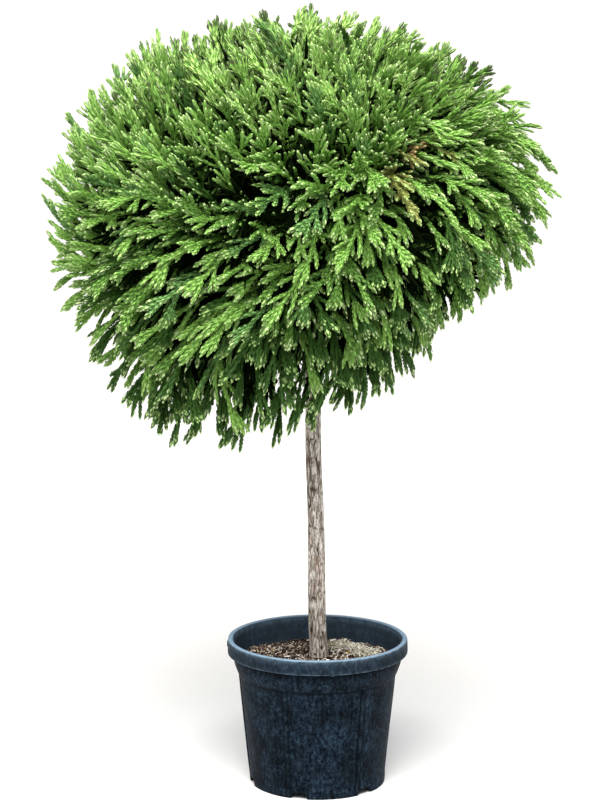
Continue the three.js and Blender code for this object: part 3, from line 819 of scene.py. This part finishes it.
def deal_shade(cell, count):
    """Near-black fans of painted shade, in the form of old needles, that fill the inside of one mass, hanging
    outwards and down at every depth.
    """
    rng = np.random.default_rng(cell["seed"] + 500)
    u, v, w, _ = draws(cell["seed"] + 0.3, count).T
    rise, bearing = places_in(cell, u, v)
    furthest = mix(SKIRT_FANS, OTHER_FANS, ramp(rise, DEEP_FROM, SHALLOW_FROM))
    foot = crown_point(bearing, rise, crown_reach(bearing, rise) * mix(NEAREST_FAN, furthest, w))
    scatter = rng.normal(0, FAN_SCATTER, (count, 3))
    heading = unit(outward(bearing, rise) * FAN_OUTWARD + scatter + FAN_DROOP)
    tip = foot + heading * SPRAY_REACH
    across = unit(np.cross(heading, rng.normal(0, 1, (count, 3))))
    which = np.arange(count) % len(shade_kits)
    parts = []
    for k, kit in enumerate(shade_kits):
        chosen = which == k
        lines = (foot[chosen], (foot[chosen] + tip[chosen]) / 2, tip[chosen])
        points, faces, kinds = lay(kit, lines, across[chosen], np.ones(chosen.sum()))
        parts.append((points, faces, np.full(kinds.size, SHADE)))
    return join(parts)


def make_sprays(cell):
    """One piece with all the needles of a mass, and the lines that its twigs lead to."""
    kits, share, longest = OUTER_KITS[cell["ring"]]
    sprays = cell["sprays"]
    outer, outer_lines = deal_sprays(cell, sprays * share, kits, lambda w: longest - OUTER_DEPTH * w, False)
    inner, inner_lines = deal_sprays(
        cell, sprays * INNER_SHARE, plain_kits, lambda w: INNER_REACH - INNER_DEPTH * w, True
    )
    points, faces, slots = join([outer, inner, deal_shade(cell, sprays * SHADE_SHARE)])
    piece = mesh_piece(f"sprays_{cell['name']}", points, faces, needles, slots)
    dress(piece, "foliage", f"foliage_{cell['name']}")
    return tuple(np.concatenate(pair) for pair in zip(outer_lines, inner_lines))


# ---------------------------------------------------------------- trunk, boughs and twigs

trunk_low, trunk_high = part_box("trunk")
TRUNK_FOOT = np.array([0.003, 0.0, trunk_low.z])
TRUNK_AT_CROWN = np.array([-0.010, 0.0, 0.810])
TRUNK_TIP = np.array([-0.020, 0.002, trunk_high.z])
TRUNK_SWAY = -0.0014
FOOT_RADIUS, CROWN_RADIUS, TIP_RADIUS = 0.0185, 0.016, 0.0105
FLARE, FLARE_HEIGHT = 0.0025, 0.026
TRUNK_ROWS, TRUNK_AROUND = 560, 96

# The bark's strips are so wide and so long, where it parts in fissures and cracks, in plates and in fibres.
FISSURE_SIZE, CRACK_SIZE = (0.0045, 0.038), (0.0026, 0.016)
PLATE_SIZE, FIBRE_SIZE = (0.007, 0.040), (0.0016, 0.012)
PLATE_RELIEF, FIBRE_RELIEF, FISSURE_DEPTH = 0.0009, 0.0004, 0.0013
CRACK_SHARE = 0.8  # a crack's depth to a fissure's
WEAVE, WEAVE_LENGTH = 0.9, 0.030  # the strips wander round the limb by up to half of this, in radians
BARK_SETTLE = 0.0006  # the bark's middle depth, taken off so that the trunk keeps its thickness

# A bough swells where it leaves the trunk, and its bark is finer.
COLLAR_SWELL, SWELL_FADE = 0.004, 7
BOUGH_GRAIN, BOUGH_RELIEF = np.array([0.0025, 0.0025, 0.00625]), 0.0012
BOUGH_STEPS, BOUGH_SIDES, BOUGH_BEND = 30, 20, 0.4

# Inside a mass, its stem goes this far out, and twigs leave it between two shares of its length.
STEM_REACH, STEM_END, STEM_RISE = 0.72, 0.0018, 0.012
LEAVING, TWIG_ROOT, TWIG_END = (0.05, 0.85), 0.0026, 0.0016
TWIG_SWEEP = 0.45  # how early a twig turns to its spray's direction, as a share of its length


def trunk_middle(height):
    """The middle of the trunk at a height: a leaning line with a slow sway in its clear length."""
    share = np.clip((height - TRUNK_FOOT[2]) / (TRUNK_AT_CROWN[2] - TRUNK_FOOT[2]), 0, 1)
    above = np.clip((height - TRUNK_AT_CROWN[2]) / (TRUNK_TIP[2] - TRUNK_AT_CROWN[2]), 0, 1)
    middle = mix(TRUNK_FOOT, TRUNK_AT_CROWN, share[..., None])
    middle = middle + (TRUNK_TIP - TRUNK_AT_CROWN) * above[..., None]
    sway = TRUNK_SWAY * np.sin(share * 3 * np.pi)
    middle[..., 0] += sway
    middle[..., 1] -= sway / 2
    middle[..., 2] = height
    return middle


def trunk_radius(height):
    """Thickness by height: a root flare at the foot and a steady taper to the tip."""
    flared = FLARE * np.exp(-(height - TRUNK_FOOT[2]) / FLARE_HEIGHT)
    clear = mix(FOOT_RADIUS, CROWN_RADIUS, ramp(height, TRUNK_FOOT[2], TRUNK_AT_CROWN[2])) + flared
    above = (height - TRUNK_AT_CROWN[2]) / (TRUNK_TIP[2] - TRUNK_AT_CROWN[2])
    return np.where(height < TRUNK_AT_CROWN[2], clear, mix(CROWN_RADIUS, TIP_RADIUS, above))


def bark_relief(angle, along, radius, seed):
    """Depth of the bark in metres and how much of a fissure each point is. The bark is in long strips of
    noise drawn out along the limb. They part where the noise crosses its middle value, so the fissures are a
    net of thin lines, and finer fibres lie on the strips."""
    circle = np.stack([2 * np.cos(angle), 2 * np.sin(angle), along / WEAVE_LENGTH], axis=-1)
    turn = angle + WEAVE * (noise(circle, seed) - 0.5)

    def strips(size, offset):
        width, length = size
        around = radius / width
        place = np.stack([around * np.cos(turn), around * np.sin(turn), along / length], axis=-1)
        return noise(place, seed + offset)

    fissure = ramp(1 - np.abs(2 * strips(FISSURE_SIZE, 1) - 1), 0.82, 0.99)
    crack = ramp(1 - np.abs(2 * strips(CRACK_SIZE, 2) - 1), 0.80, 0.99)
    opened = np.maximum(fissure, crack * CRACK_SHARE)
    raised = PLATE_RELIEF * strips(PLATE_SIZE, 3) + FIBRE_RELIEF * strips(FIBRE_SIZE, 4)
    return raised - FISSURE_DEPTH * opened, opened


def make_trunk():
    """The trunk as a tube on its leaning line, moved in and out by the bark's relief and by slow flutes. Its
    foot and tip close on points."""
    height = np.linspace(TRUNK_FOOT[2], TRUNK_TIP[2], TRUNK_ROWS)[:, None] + np.zeros(TRUNK_AROUND)
    angle = np.linspace(0, 2 * np.pi, TRUNK_AROUND, endpoint=False) + np.zeros((TRUNK_ROWS, 1))
    depth, fissure = bark_relief(angle, height, FOOT_RADIUS, 3)
    flutes = 0.6 * MM * np.sin(3 * angle + 9 * height) + 0.4 * MM * np.sin(5 * angle - 4 * height)
    radius = trunk_radius(height) + depth - BARK_SETTLE + flutes
    aside = np.stack([np.cos(angle), np.sin(angle), 0 * angle], axis=-1)
    rings = trunk_middle(height) + radius[..., None] * aside
    points = np.concatenate([rings.reshape(-1, 3), [TRUNK_FOOT, TRUNK_TIP]])
    ring = np.arange(TRUNK_AROUND)
    foot, tip = rings.size // 3 + np.arange(2)
    last = (TRUNK_ROWS - 1) * TRUNK_AROUND
    wall = triangles(grid_faces(TRUNK_ROWS, TRUNK_AROUND))
    faces = np.concatenate([wall, fan(foot, ring[::-1]), fan(tip, last + ring)])
    values = {"fissure": np.concatenate([fissure.ravel(), [0.5, 0.5]])}
    piece = mesh_piece("trunk_bark", points, faces, [bark], None, values)
    return dress(piece, "bark", "trunk")


def bough_lines(cells):
    """Each bough's line: from the trunk's middle, bending out, to where it enters its mass."""
    roots = np.array([trunk_middle(np.array(cell["root"])) for cell in cells])
    bearing = np.array([cell["bearing"] for cell in cells])
    rise = np.array([cell["rise"] for cell in cells])
    end = np.full(len(cells), BARE_RADIUS)
    return roots, crown_point(bearing, rise, end * BOUGH_BEND), crown_point(bearing, rise, end)


def make_boughs(cells):
    """All the boughs in one piece: tapering tubes with the bark's relief and a collar at the trunk."""
    t = np.linspace(0, 1, BOUGH_STEPS)[None, :, None]
    paths = curve_point(*(point[:, None, :] for point in bough_lines(cells)), t)
    share = t[:, :, 0]
    radii = mix(BOUGH_ROOT, BOUGH_END, np.sqrt(share)) + COLLAR_SWELL * np.exp(-share * SWELL_FADE)
    points, faces = tubes(paths, radii + np.zeros((len(cells), 1)), BOUGH_SIDES)
    ridges = noise(points / BOUGH_GRAIN, 9)
    on_ring = np.tile([False] + [True] * (BOUGH_STEPS * BOUGH_SIDES) + [False], len(cells))
    middle = np.repeat(paths, BOUGH_SIDES, axis=1)
    middle = np.concatenate([paths[:, :1], middle, paths[:, -1:]], axis=1).reshape(-1, 3)
    lift = np.where(on_ring, BOUGH_RELIEF * (ridges - 0.5), 0)[:, None]
    points = points + unit(points - middle) * lift
    fissure = ramp(1 - np.abs(2 * ridges - 1), 0.75, 0.95)
    piece = mesh_piece("bough_bark", points, faces, [bark], None, {"fissure": fissure})
    return dress(piece, "bark", *[f"bough_{cell['name']}" for cell in cells])


def make_twigs(cell, lines):
    """The woody part of one mass: its stem, carried on from the bough, and a twig from the stem to the foot
    of each spray, which it meets in the spray's own direction."""
    foot, knee, _ = lines
    rng = np.random.default_rng(cell["seed"] + 900)
    middle = np.array(cell["bearing"]), np.array(cell["rise"])
    start = TRUNK_TIP if cell["root"] is None else crown_point(*middle, np.array(BARE_RADIUS))
    end = crown_point(*middle, crown_reach(*middle) * STEM_REACH)
    bend = (start + end) / 2 + np.array([0, 0, STEM_RISE])
    t = np.linspace(0, 1, 12)[None, :, None]
    stem = tubes(curve_point(start, bend, end, t), mix(BOUGH_END, STEM_END, t[:, :, 0]), 8)
    leave = rng.uniform(*LEAVING, len(foot))[:, None]
    origin = curve_point(start, bend, end, leave)
    gap = np.linalg.norm(foot - origin, axis=-1, keepdims=True)
    turn = foot - unit(knee - foot) * gap * TWIG_SWEEP
    t = np.linspace(0, 1, 6)[None, :, None]
    paths = curve_point(origin[:, None], turn[:, None], foot[:, None], t)
    radii = mix(TWIG_ROOT, TWIG_END, t[:, :, 0]) + np.zeros((len(foot), 1))
    twigs = tubes(paths, radii, 4)
    points, faces, _ = join([(*wood, np.zeros(len(wood[1]))) for wood in (stem, twigs)])
    piece = mesh_piece(f"twigs_{cell['name']}", points, faces, [twig_bark])
    return dress(piece, "twig", f"foliage_{cell['name']}")


# ---------------------------------------------------------------- pot and potting mix

pot_low, pot_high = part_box("pot")
POT_HEIGHT = pot_high.z
RIM_RADIUS = (pot_high.x - pot_low.x) / 2
RIM_HEIGHT, RIM_WIDTH = 0.032, 0.015
COLLAR_RADIUS, COLLAR_HEIGHT = 0.177, 0.044
BODY_RADIUS, POT_FOOT = 0.167, 0.143
WALL = 0.004
UNDERSIDE_RISE = 0.014  # the floor stands this high inside the foot's edge
POT_AROUND, POT_STEP = 450, 0.006  # points round the pot, and the furthest that they lie apart up its wall
RIBS, FIRST_RIB = 6, math.radians(-115)
RIB_EDGE, GROOVE_WIDTH, GROOVE_DEPTH = (0.0035, 0.0075), 0.0020, 0.0020  # a groove on either side of a rib
PANEL_DEPTH = 0.0022
NOTCHES, FIRST_NOTCH, NOTCH_WIDTH, NOTCH_HEIGHT = 6, math.radians(-106), 0.033, 0.0125
FRONT = -math.pi / 2
BURR_BEARING, BURR_WIDTH, BURR_DROP = FRONT + 0.16, 0.022, 0.0022  # a drip of plastic under the rim
LUG_BEARING, LUG_WIDTH, LUG_OUT = math.pi + 0.10, 0.03, 0.0022  # a bump on the rim
DENT_SIZE, DENT_DEPTH = 0.06, 0.0012
WEAR_GRAIN, SCUFF_GRAIN = 0.006, np.array([0.010, 0.010, 0.004])

MIX_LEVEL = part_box("potting_mix")[1].z
MIX_RADIUS = 0.170
MIX_RINGS, MIX_AROUND = 60, 200
MIX_SAG, MIX_SETTLE = 0.006, 0.003  # it sinks so much at the wall, and lies so much under its solid's top
LUMP_SIZE, LUMP_HEIGHT = 0.028, 0.007
CRUMB_SIZE, CRUMB_HEIGHT = 0.009, 0.004
MOSS_PLACE = np.array([0.080, 0.040])
MOUND_SIZE, MOUND_HEIGHT = (0.042, 0.050), 0.006

CHIPS = 2600
CHIP_LENGTH, CHIP_WIDTH, CHIP_THICKNESS = (2.5, 14.5), (1.5, 4.5), (1, 3)  # least and most, in millimetres
CHIP_CUT, CHIP_TILT, CHIP_RISE = (0.4, 1.25), 0.6, 0.0008
CHIP_KINDS = {  # name: (colour, share of all)
    "chip_dark_brown": ("#1a1210", 0.36),
    "chip_mid_brown": ("#6c5a50", 0.27),
    "chip_tan": ("#b3a090", 0.22),
    "chip_bleached": ("#f2ecdf", 0.13),
    "fallen_yellow_bit": ("#c9a02e", 0.02),
}

MOSS_CLUMPS, STRANDS_EACH = 11, 30
MOSS_DRIFT, MOSS_LINE = (-0.052, 0.048), np.array([0.74, -0.67])  # how far the clumps lie along which line
CLUMP_SPREAD, STRAND_SPREAD = 0.009, 0.0095
STRAND_LENGTH, STRAND_RISE, STRAND_RADIUS = (0.014, 0.040), (0.001, 0.017), (0.0006, 0.0013)
STRAND_CURL, STRAND_STEPS = 2.2, 6
MOSS_KINDS = {  # name: (colour, share of all)
    "dry_moss_grey_green": ("#e4e0d0", 0.5),
    "dry_moss_olive": ("#948d72", 0.3),
    "dry_moss_straw": ("#f4f0e4", 0.2),
}


def rounded(corners, steps=5):
    """An outline whose corners (radius, height, size of the rounding) are each replaced by a short arc."""
    corners = np.array(corners)
    made = [corners[0, :2]]
    for before, here, after in zip(corners[:-2], corners[1:-1], corners[2:]):
        arms = [before[:2] - here[:2], after[:2] - here[:2]]
        size = min(here[2], 0.48 * np.linalg.norm(arms[0]), 0.48 * np.linalg.norm(arms[1]))
        start, end = (here[:2] + unit(arm) * size for arm in arms)
        t = np.linspace(0, 1, steps)[:, None]
        made.extend(curve_point(start, here[:2], end, t))
    made.append(corners[-1, :2])
    return np.array(made)


def filled_out(outline, longest):
    """The outline with more points on its long straight stretches."""
    made = [outline[:1]]
    for start, end in zip(outline[:-1], outline[1:]):
        pieces = max(1, int(np.ceil(np.linalg.norm(end - start) / longest)))
        made.append(mix(start, end, (np.arange(pieces) + 1)[:, None] / pieces))
    return np.concatenate(made)


def nearest(angle, first, count):
    """How far each angle lies from the nearest of `count` places spaced evenly from the first."""
    step = 2 * np.pi / count
    return (angle - first + step / 2) % step - step / 2


def bell(distance, width):
    """1 at distance 0, falling off to both sides within about a width."""
    return np.exp(-((distance / width) ** 2))


def make_pot():
    """The wall is an outline carried round the axis: out under the floor, up the tapering body, over the
    rolled rim and down inside. The body sinks by a panel's depth between its ribs and below the step under
    the collar, the foot's edge rises at the notches, and the rim has a burr and a lug from its mould."""
    rim_foot = POT_HEIGHT - RIM_HEIGHT
    step = rim_foot - COLLAR_HEIGHT
    lip = RIM_RADIUS - RIM_WIDTH
    corners = [
        (0.0, UNDERSIDE_RISE, 0),
        (POT_FOOT - 0.006, UNDERSIDE_RISE, 0.002),
        (POT_FOOT - 0.005, 0.0, 0.001),
        (POT_FOOT, 0.0, 0.0025),
        (BODY_RADIUS, step, 0.001),
        (BODY_RADIUS + 0.002, step + 0.005, 0.001),
        (COLLAR_RADIUS, step + 0.026, 0.010),
        (COLLAR_RADIUS, rim_foot + 0.004, 0.002),
        (RIM_RADIUS - 0.004, rim_foot + 0.001, 0.002),
        (RIM_RADIUS - 0.0005, rim_foot, 0.002),
        (RIM_RADIUS, rim_foot + 0.006, 0.002),
        (RIM_RADIUS - 0.001, POT_HEIGHT - 0.001, 0.006),
        (lip + 0.006, POT_HEIGHT, 0.006),
        (lip, POT_HEIGHT - 0.007, 0.005),
        (COLLAR_RADIUS - WALL, rim_foot, 0.004),
        (COLLAR_RADIUS - WALL, step + 0.026, 0.004),
        (BODY_RADIUS - WALL, step, 0.002),
        (POT_FOOT - WALL, UNDERSIDE_RISE + WALL, 0.002),
        (0.0, UNDERSIDE_RISE + 0.002, 0),
    ]
    outline = filled_out(rounded(corners), POT_STEP)
    across, up = outline[:, :1], outline[:, 1:]
    outer = (np.arange(len(outline)) < np.argmax(up))[:, None]
    angle = np.linspace(0, 2 * np.pi, POT_AROUND, endpoint=False)[None, :]
    radius, height = across + 0 * angle, up + 0 * angle

    below_step = ramp(height, step + 0.002, step - 0.003)
    rib = np.abs(nearest(angle, FIRST_RIB, RIBS)) * BODY_RADIUS
    sunk = ramp(rib, *RIB_EDGE) * below_step * ramp(height, 0.012, 0.030)
    groove = bell(rib - np.mean(RIB_EDGE), GROOVE_WIDTH) * below_step
    wall = outer & (across > POT_FOOT - 0.001)
    radius = radius - np.where(wall, PANEL_DEPTH * sunk + GROOVE_DEPTH * groove, 0)
    circle = np.stack([4 * np.cos(angle), 4 * np.sin(angle)], axis=-1) + 0 * height[..., None]
    dent = noise(np.concatenate([circle, height[..., None] / DENT_SIZE], axis=-1), 4) - 0.5
    radius = radius + DENT_DEPTH * dent * (across > 0.02)
    notch = np.abs(nearest(angle, FIRST_NOTCH, NOTCHES)) * POT_FOOT
    gate = ramp(notch, NOTCH_WIDTH / 2 + 0.002, NOTCH_WIDTH / 2 - 0.003)
    edge = outer & (across > POT_FOOT - 0.0055)
    height = height + np.where(edge, NOTCH_HEIGHT * gate * ramp(height, 2 * NOTCH_HEIGHT, 0), 0)
    band = outer & (across > COLLAR_RADIUS + 0.004) & (up < rim_foot + 0.005)
    height = height - np.where(band, BURR_DROP * bell(nearest(angle, BURR_BEARING, 1), BURR_WIDTH), 0)
    upper = outer & (across > RIM_RADIUS - 0.003) & (up > POT_HEIGHT - 0.018)
    radius = radius + np.where(upper, LUG_OUT * bell(nearest(angle, LUG_BEARING, 1), LUG_WIDTH), 0)
    points = np.stack([radius * np.cos(angle), radius * np.sin(angle), height], axis=-1)

    face = outer & (across > COLLAR_RADIUS + 0.004)
    # Painted shade where shade falls: in the grooves beside the ribs, under the step and under the rim.
    under_step = bell(height - step + 0.001, 0.0025)
    under_rim = bell(height - rim_foot + 0.004, 0.005)
    painted_crease_shade = np.where(outer & ~face, 0.9 * groove + 0.85 * under_step + 0.8 * under_rim, 0).clip(0, 0.9)
    values = {"wear_and_highlight": pot_wear_and_highlight(points, outline, outer, face, rim_foot), "painted_crease_shade": painted_crease_shade}
    values = {name: np.concatenate([[0], value[1:-1].ravel(), [0]]) for name, value in values.items()}
    rows = len(outline) - 2
    ring = np.arange(POT_AROUND)
    last = 1 + (rows - 1) * POT_AROUND
    sides = triangles(grid_faces(rows, POT_AROUND) + 1)
    faces = np.concatenate([sides, fan(0, 1 + ring[::-1]), fan(last + POT_AROUND, last + ring)])
    points = np.concatenate([points[0, :1], points[1:-1].reshape(-1, 3), points[-1, :1]])
    piece = mesh_piece("pot_wall", points, faces, [pot_finish()], None, values)
    return dress(piece, "pot", "pot")


def pot_wear_and_highlight(points, outline, outer, face, rim_foot):
    """How worn and highlighted each point of the pot is, from 0 to 1: most on the bends of the rim, which
    are worn and carry a painted highlight, a painted highlight along the lip, a little on the rim's face,
    more towards its top as painted light, and a little wear all over the inside."""
    up = outline[:, 1:]
    bend = np.linalg.norm(np.gradient(unit(np.gradient(outline, axis=0)), axis=0), axis=1)
    # Worn edges on the rim's bends, which also carry a painted highlight.
    bends = np.clip(bend * 1.1, 0, 1)[:, None] * (up > rim_foot - 0.002)
    worn_and_highlit = bends * mix(0.20, 0.60, ramp(noise(points / WEAR_GRAIN, 6), 0.25, 0.70))
    # A painted highlight along the top of the lip.
    lip_highlight = 0.6 * ramp(up, POT_HEIGHT - 0.0035, POT_HEIGHT - 0.001)
    scuffs = mix(0.7, 1.0, ramp(noise(points / SCUFF_GRAIN, 8), 0.3, 0.7))
    # Painted light: the rim's face is lighter towards its top.
    painted_top_light = ramp(up, rim_foot + 0.002, POT_HEIGHT - 0.002)
    face_scuffs_and_light = scuffs * np.where(face, 0.01 + 0.045 * painted_top_light, 0)
    return np.clip(worn_and_highlit + lip_highlight + face_scuffs_and_light + np.where(outer, 0, 0.08), 0, 1)


def mix_height(x, y):
    """The top of the mix: level round the trunk, sinking a little to the wall, with lumps, crumbs and a low
    mound under the moss."""
    radius = np.hypot(x, y)
    fall = MIX_SAG * ramp(radius, 0.06, MIX_RADIUS)
    place = np.stack([x, y, 0 * x], axis=-1)
    lumps = LUMP_HEIGHT * (noise(place / LUMP_SIZE, 1) - 0.5)
    crumbs = CRUMB_HEIGHT * (noise(place / CRUMB_SIZE, 2) - 0.5)
    mound = bell(x - MOSS_PLACE[0], MOUND_SIZE[0]) * bell(y - MOSS_PLACE[1], MOUND_SIZE[1])
    return MIX_LEVEL - MIX_SETTLE - fall + (lumps + crumbs) * ramp(radius, 0.0, 0.03) + MOUND_HEIGHT * mound


def make_mix():
    """The mix's top is a disc of rings whose heights are mix_height. It turns down at the wall and closes
    underneath."""
    radius = np.linspace(0.0015, MIX_RADIUS, MIX_RINGS)[:, None]
    angle = np.linspace(0, 2 * np.pi, MIX_AROUND, endpoint=False)[None, :]
    x, y = radius * np.cos(angle), radius * np.sin(angle)
    top = np.stack([x, y, mix_height(x, y)], axis=-1)
    under = top[-1:] * np.array([0.9, 0.9, 1]) - np.array([0, 0, 0.02])
    poles = np.array([[0, 0, MIX_LEVEL - MIX_SETTLE], [0, 0, MIX_LEVEL - 0.03]])
    points = np.concatenate([top.reshape(-1, 3), under.reshape(-1, 3), poles])
    ring = np.arange(MIX_AROUND)
    middle = (MIX_RINGS + 1) * MIX_AROUND
    sides = triangles(grid_faces(MIX_RINGS + 1, MIX_AROUND))[:, ::-1]
    base = fan(middle + 1, (MIX_RINGS * MIX_AROUND + ring)[::-1])
    faces = np.concatenate([sides, fan(middle, ring), base])
    piece = mesh_piece("potting_mix_top", points, faces, [soil_finish()])
    return dress(piece, "mix", "potting_mix")


def drawn_kinds(rng, kinds, count):
    """A plain finish for each kind, and which kind each of the pieces is, drawn by the kinds' shares."""
    finishes = [plain(name, code) for name, (code, _) in kinds.items()]
    return finishes, rng.choice(len(kinds), count, p=[share for _, share in kinds.values()])


def make_chips():
    """Bark chips, grit and fallen bits on the mix: jittered blocks of a few millimetres, turned at random and
    half sunk."""
    rng = np.random.default_rng(41)
    radius = (MIX_RADIUS - 0.006) * np.sqrt(rng.random(CHIPS))
    angle = rng.uniform(0, 2 * np.pi, CHIPS)
    x, y = radius * np.cos(angle), radius * np.sin(angle)
    length = mix(*CHIP_LENGTH, rng.random(CHIPS) ** 2.5)
    width, thickness = rng.uniform(*CHIP_WIDTH, CHIPS), rng.uniform(*CHIP_THICKNESS, CHIPS)
    size = np.stack([length, width, thickness], axis=-1) * MM
    corner = np.array(list(np.ndindex(2, 2, 2))) - 0.5
    block = corner[None] * size[:, None] * rng.uniform(*CHIP_CUT, (CHIPS, 8, 3))
    yaw = rng.uniform(0, 2 * np.pi, CHIPS)
    tilt = rng.normal(0, CHIP_TILT, CHIPS)
    upright = np.tile([0.0, 0.0, 1.0], (CHIPS, 1))
    level = np.stack([np.cos(yaw), np.sin(yaw), 0 * yaw], axis=-1)
    block = turned_about(block.reshape(-1, 3), np.repeat(upright, 8, axis=0), np.repeat(yaw, 8))
    block = turned_about(block, np.repeat(level, 8, axis=0), np.repeat(tilt, 8))
    centre = np.stack([x, y, mix_height(x, y) + CHIP_RISE], axis=-1)
    points = block + np.repeat(centre, 8, axis=0)
    sides = np.array([[0, 1, 3, 2], [4, 6, 7, 5], [0, 4, 5, 1], [2, 3, 7, 6], [0, 2, 6, 4], [1, 5, 7, 3]])
    faces = (sides[None] + (8 * np.arange(CHIPS))[:, None, None]).reshape(-1, 4)
    finishes, kinds = drawn_kinds(rng, CHIP_KINDS, CHIPS)
    piece = mesh_piece("bark_chips", points, faces, finishes, np.repeat(kinds, 6), smooth=False)
    return dress(piece, "mix", "potting_mix")


def make_moss():
    """Dry grey-green moss on the mix beside the trunk, in ragged clumps: strands that loop over each other
    and stand off the ground."""
    rng = np.random.default_rng(7)
    count = MOSS_CLUMPS * STRANDS_EACH
    drift = rng.uniform(*MOSS_DRIFT, MOSS_CLUMPS)[:, None] * MOSS_LINE
    middles = MOSS_PLACE + drift + rng.normal(0, CLUMP_SPREAD, (MOSS_CLUMPS, 2))
    start = np.repeat(middles, STRANDS_EACH, axis=0) + rng.normal(0, STRAND_SPREAD, (count, 2))
    heading = rng.uniform(0, 2 * np.pi, count)[:, None]
    stride = rng.uniform(*STRAND_LENGTH, count)[:, None] / STRAND_STEPS
    share = np.linspace(0, 1, STRAND_STEPS)
    turned = heading + rng.normal(0, STRAND_CURL, count)[:, None] * share
    x = start[:, :1] + np.cumsum(np.cos(turned), axis=1) * stride
    y = start[:, 1:] + np.cumsum(np.sin(turned), axis=1) * stride
    rise = rng.uniform(*STRAND_RISE, count)[:, None]
    rise = rise * np.sin(np.pi * share * rng.uniform(0.45, 1.0, count)[:, None])
    pull = np.minimum(1, (MIX_RADIUS - 0.004) / np.hypot(x, y))
    x, y = x * pull, y * pull
    paths = np.stack([x, y, mix_height(x, y) + 0.001 + rise], axis=-1)
    radii = rng.uniform(*STRAND_RADIUS, count)[:, None] * np.linspace(1, 0.5, STRAND_STEPS)
    points, faces = tubes(paths, radii, 3)
    finishes, kinds = drawn_kinds(rng, MOSS_KINDS, count)
    piece = mesh_piece("dry_moss_tuft", points, faces, finishes, np.repeat(kinds, len(faces) // count))
    return dress(piece, "mix", "potting_mix")


# ---------------------------------------------------------------- camera, floor and light

CAMERA_PLACE, LOOKS_DOWN, LENS = (-0.037, -5.45, 1.80), 10.2, 120
SKY_COLOUR, SKY_STRENGTH = "#f4f8ff", 0.40
KEY_COLOUR, KEY_STRENGTH, KEY_SPREAD, KEY_TURN = "#fffaf0", 3.0, 60, (25, -6, 0)
PANEL_SIZE, PANEL_STRENGTH, PANEL_PLACE, PANEL_TURN = 2.4, 132, (-0.1, -1.9, 3.3), (42, 0, -2)


def put_in(name, data, place, turn):
    """The scene gets an object for a camera or a light, at a place and turned by so many degrees."""
    made = bpy.data.objects.new(name, data)
    made.location = place
    made.rotation_euler = [math.radians(angle) for angle in turn]
    bpy.context.scene.collection.objects.link(made)
    return made


def make_camera():
    """A long lens a few metres off, a little above the crown, looking slightly down."""
    data = bpy.data.cameras.new("camera")
    data.lens = LENS
    data.sensor_width = 36
    data.clip_end = 500
    bpy.context.scene.camera = put_in("camera", data, CAMERA_PLACE, (90 - LOOKS_DOWN, 0, 0))


def make_studio():
    """A pale plain floor under an even white sky, with one broad soft light from the upper left and a soft
    panel over the plant."""
    half = 150
    corners = np.array([[-half, -half, 0], [half, -half, 0], [half, half, 0], [-half, half, 0]])
    pale = plain("matt_pale_floor", "#fafafa", 0.9)
    floor = mesh_piece("floor", corners, np.array([[0, 1, 2, 3]]), [pale], smooth=False)
    world = bpy.data.worlds.new("white_sky")
    world.use_nodes = True
    sky = world.node_tree.nodes["Background"]
    sky.inputs["Color"].default_value = linear(SKY_COLOUR)
    sky.inputs["Strength"].default_value = SKY_STRENGTH
    bpy.context.scene.world = world
    sun = bpy.data.lights.new("soft_key", "SUN")
    sun.energy = KEY_STRENGTH
    sun.angle = math.radians(KEY_SPREAD)
    sun.color = linear(KEY_COLOUR)[:3]
    put_in("soft_key", sun, (0, 0, 0), KEY_TURN)
    panel = bpy.data.lights.new("overhead_panel", "AREA")
    panel.shape = "DISK"
    panel.size = PANEL_SIZE
    panel.energy = PANEL_STRENGTH
    put_in("overhead_panel", panel, PANEL_PLACE, PANEL_TURN)
    bpy.context.scene.view_settings.view_transform = "Standard"


# ---------------------------------------------------------------- the plant

make_camera()
make_studio()
bark = bark_finish()
twig_bark = twig_finish()
needles = [needle_finish(name, code) for name, code in GREENS.items()]
cells = crown_cells()
for cell in cells:
    make_twigs(cell, make_sprays(cell))
make_trunk()
make_boughs([cell for cell in cells if cell["root"] is not None])
make_pot()
make_mix()
make_chips()
make_moss()
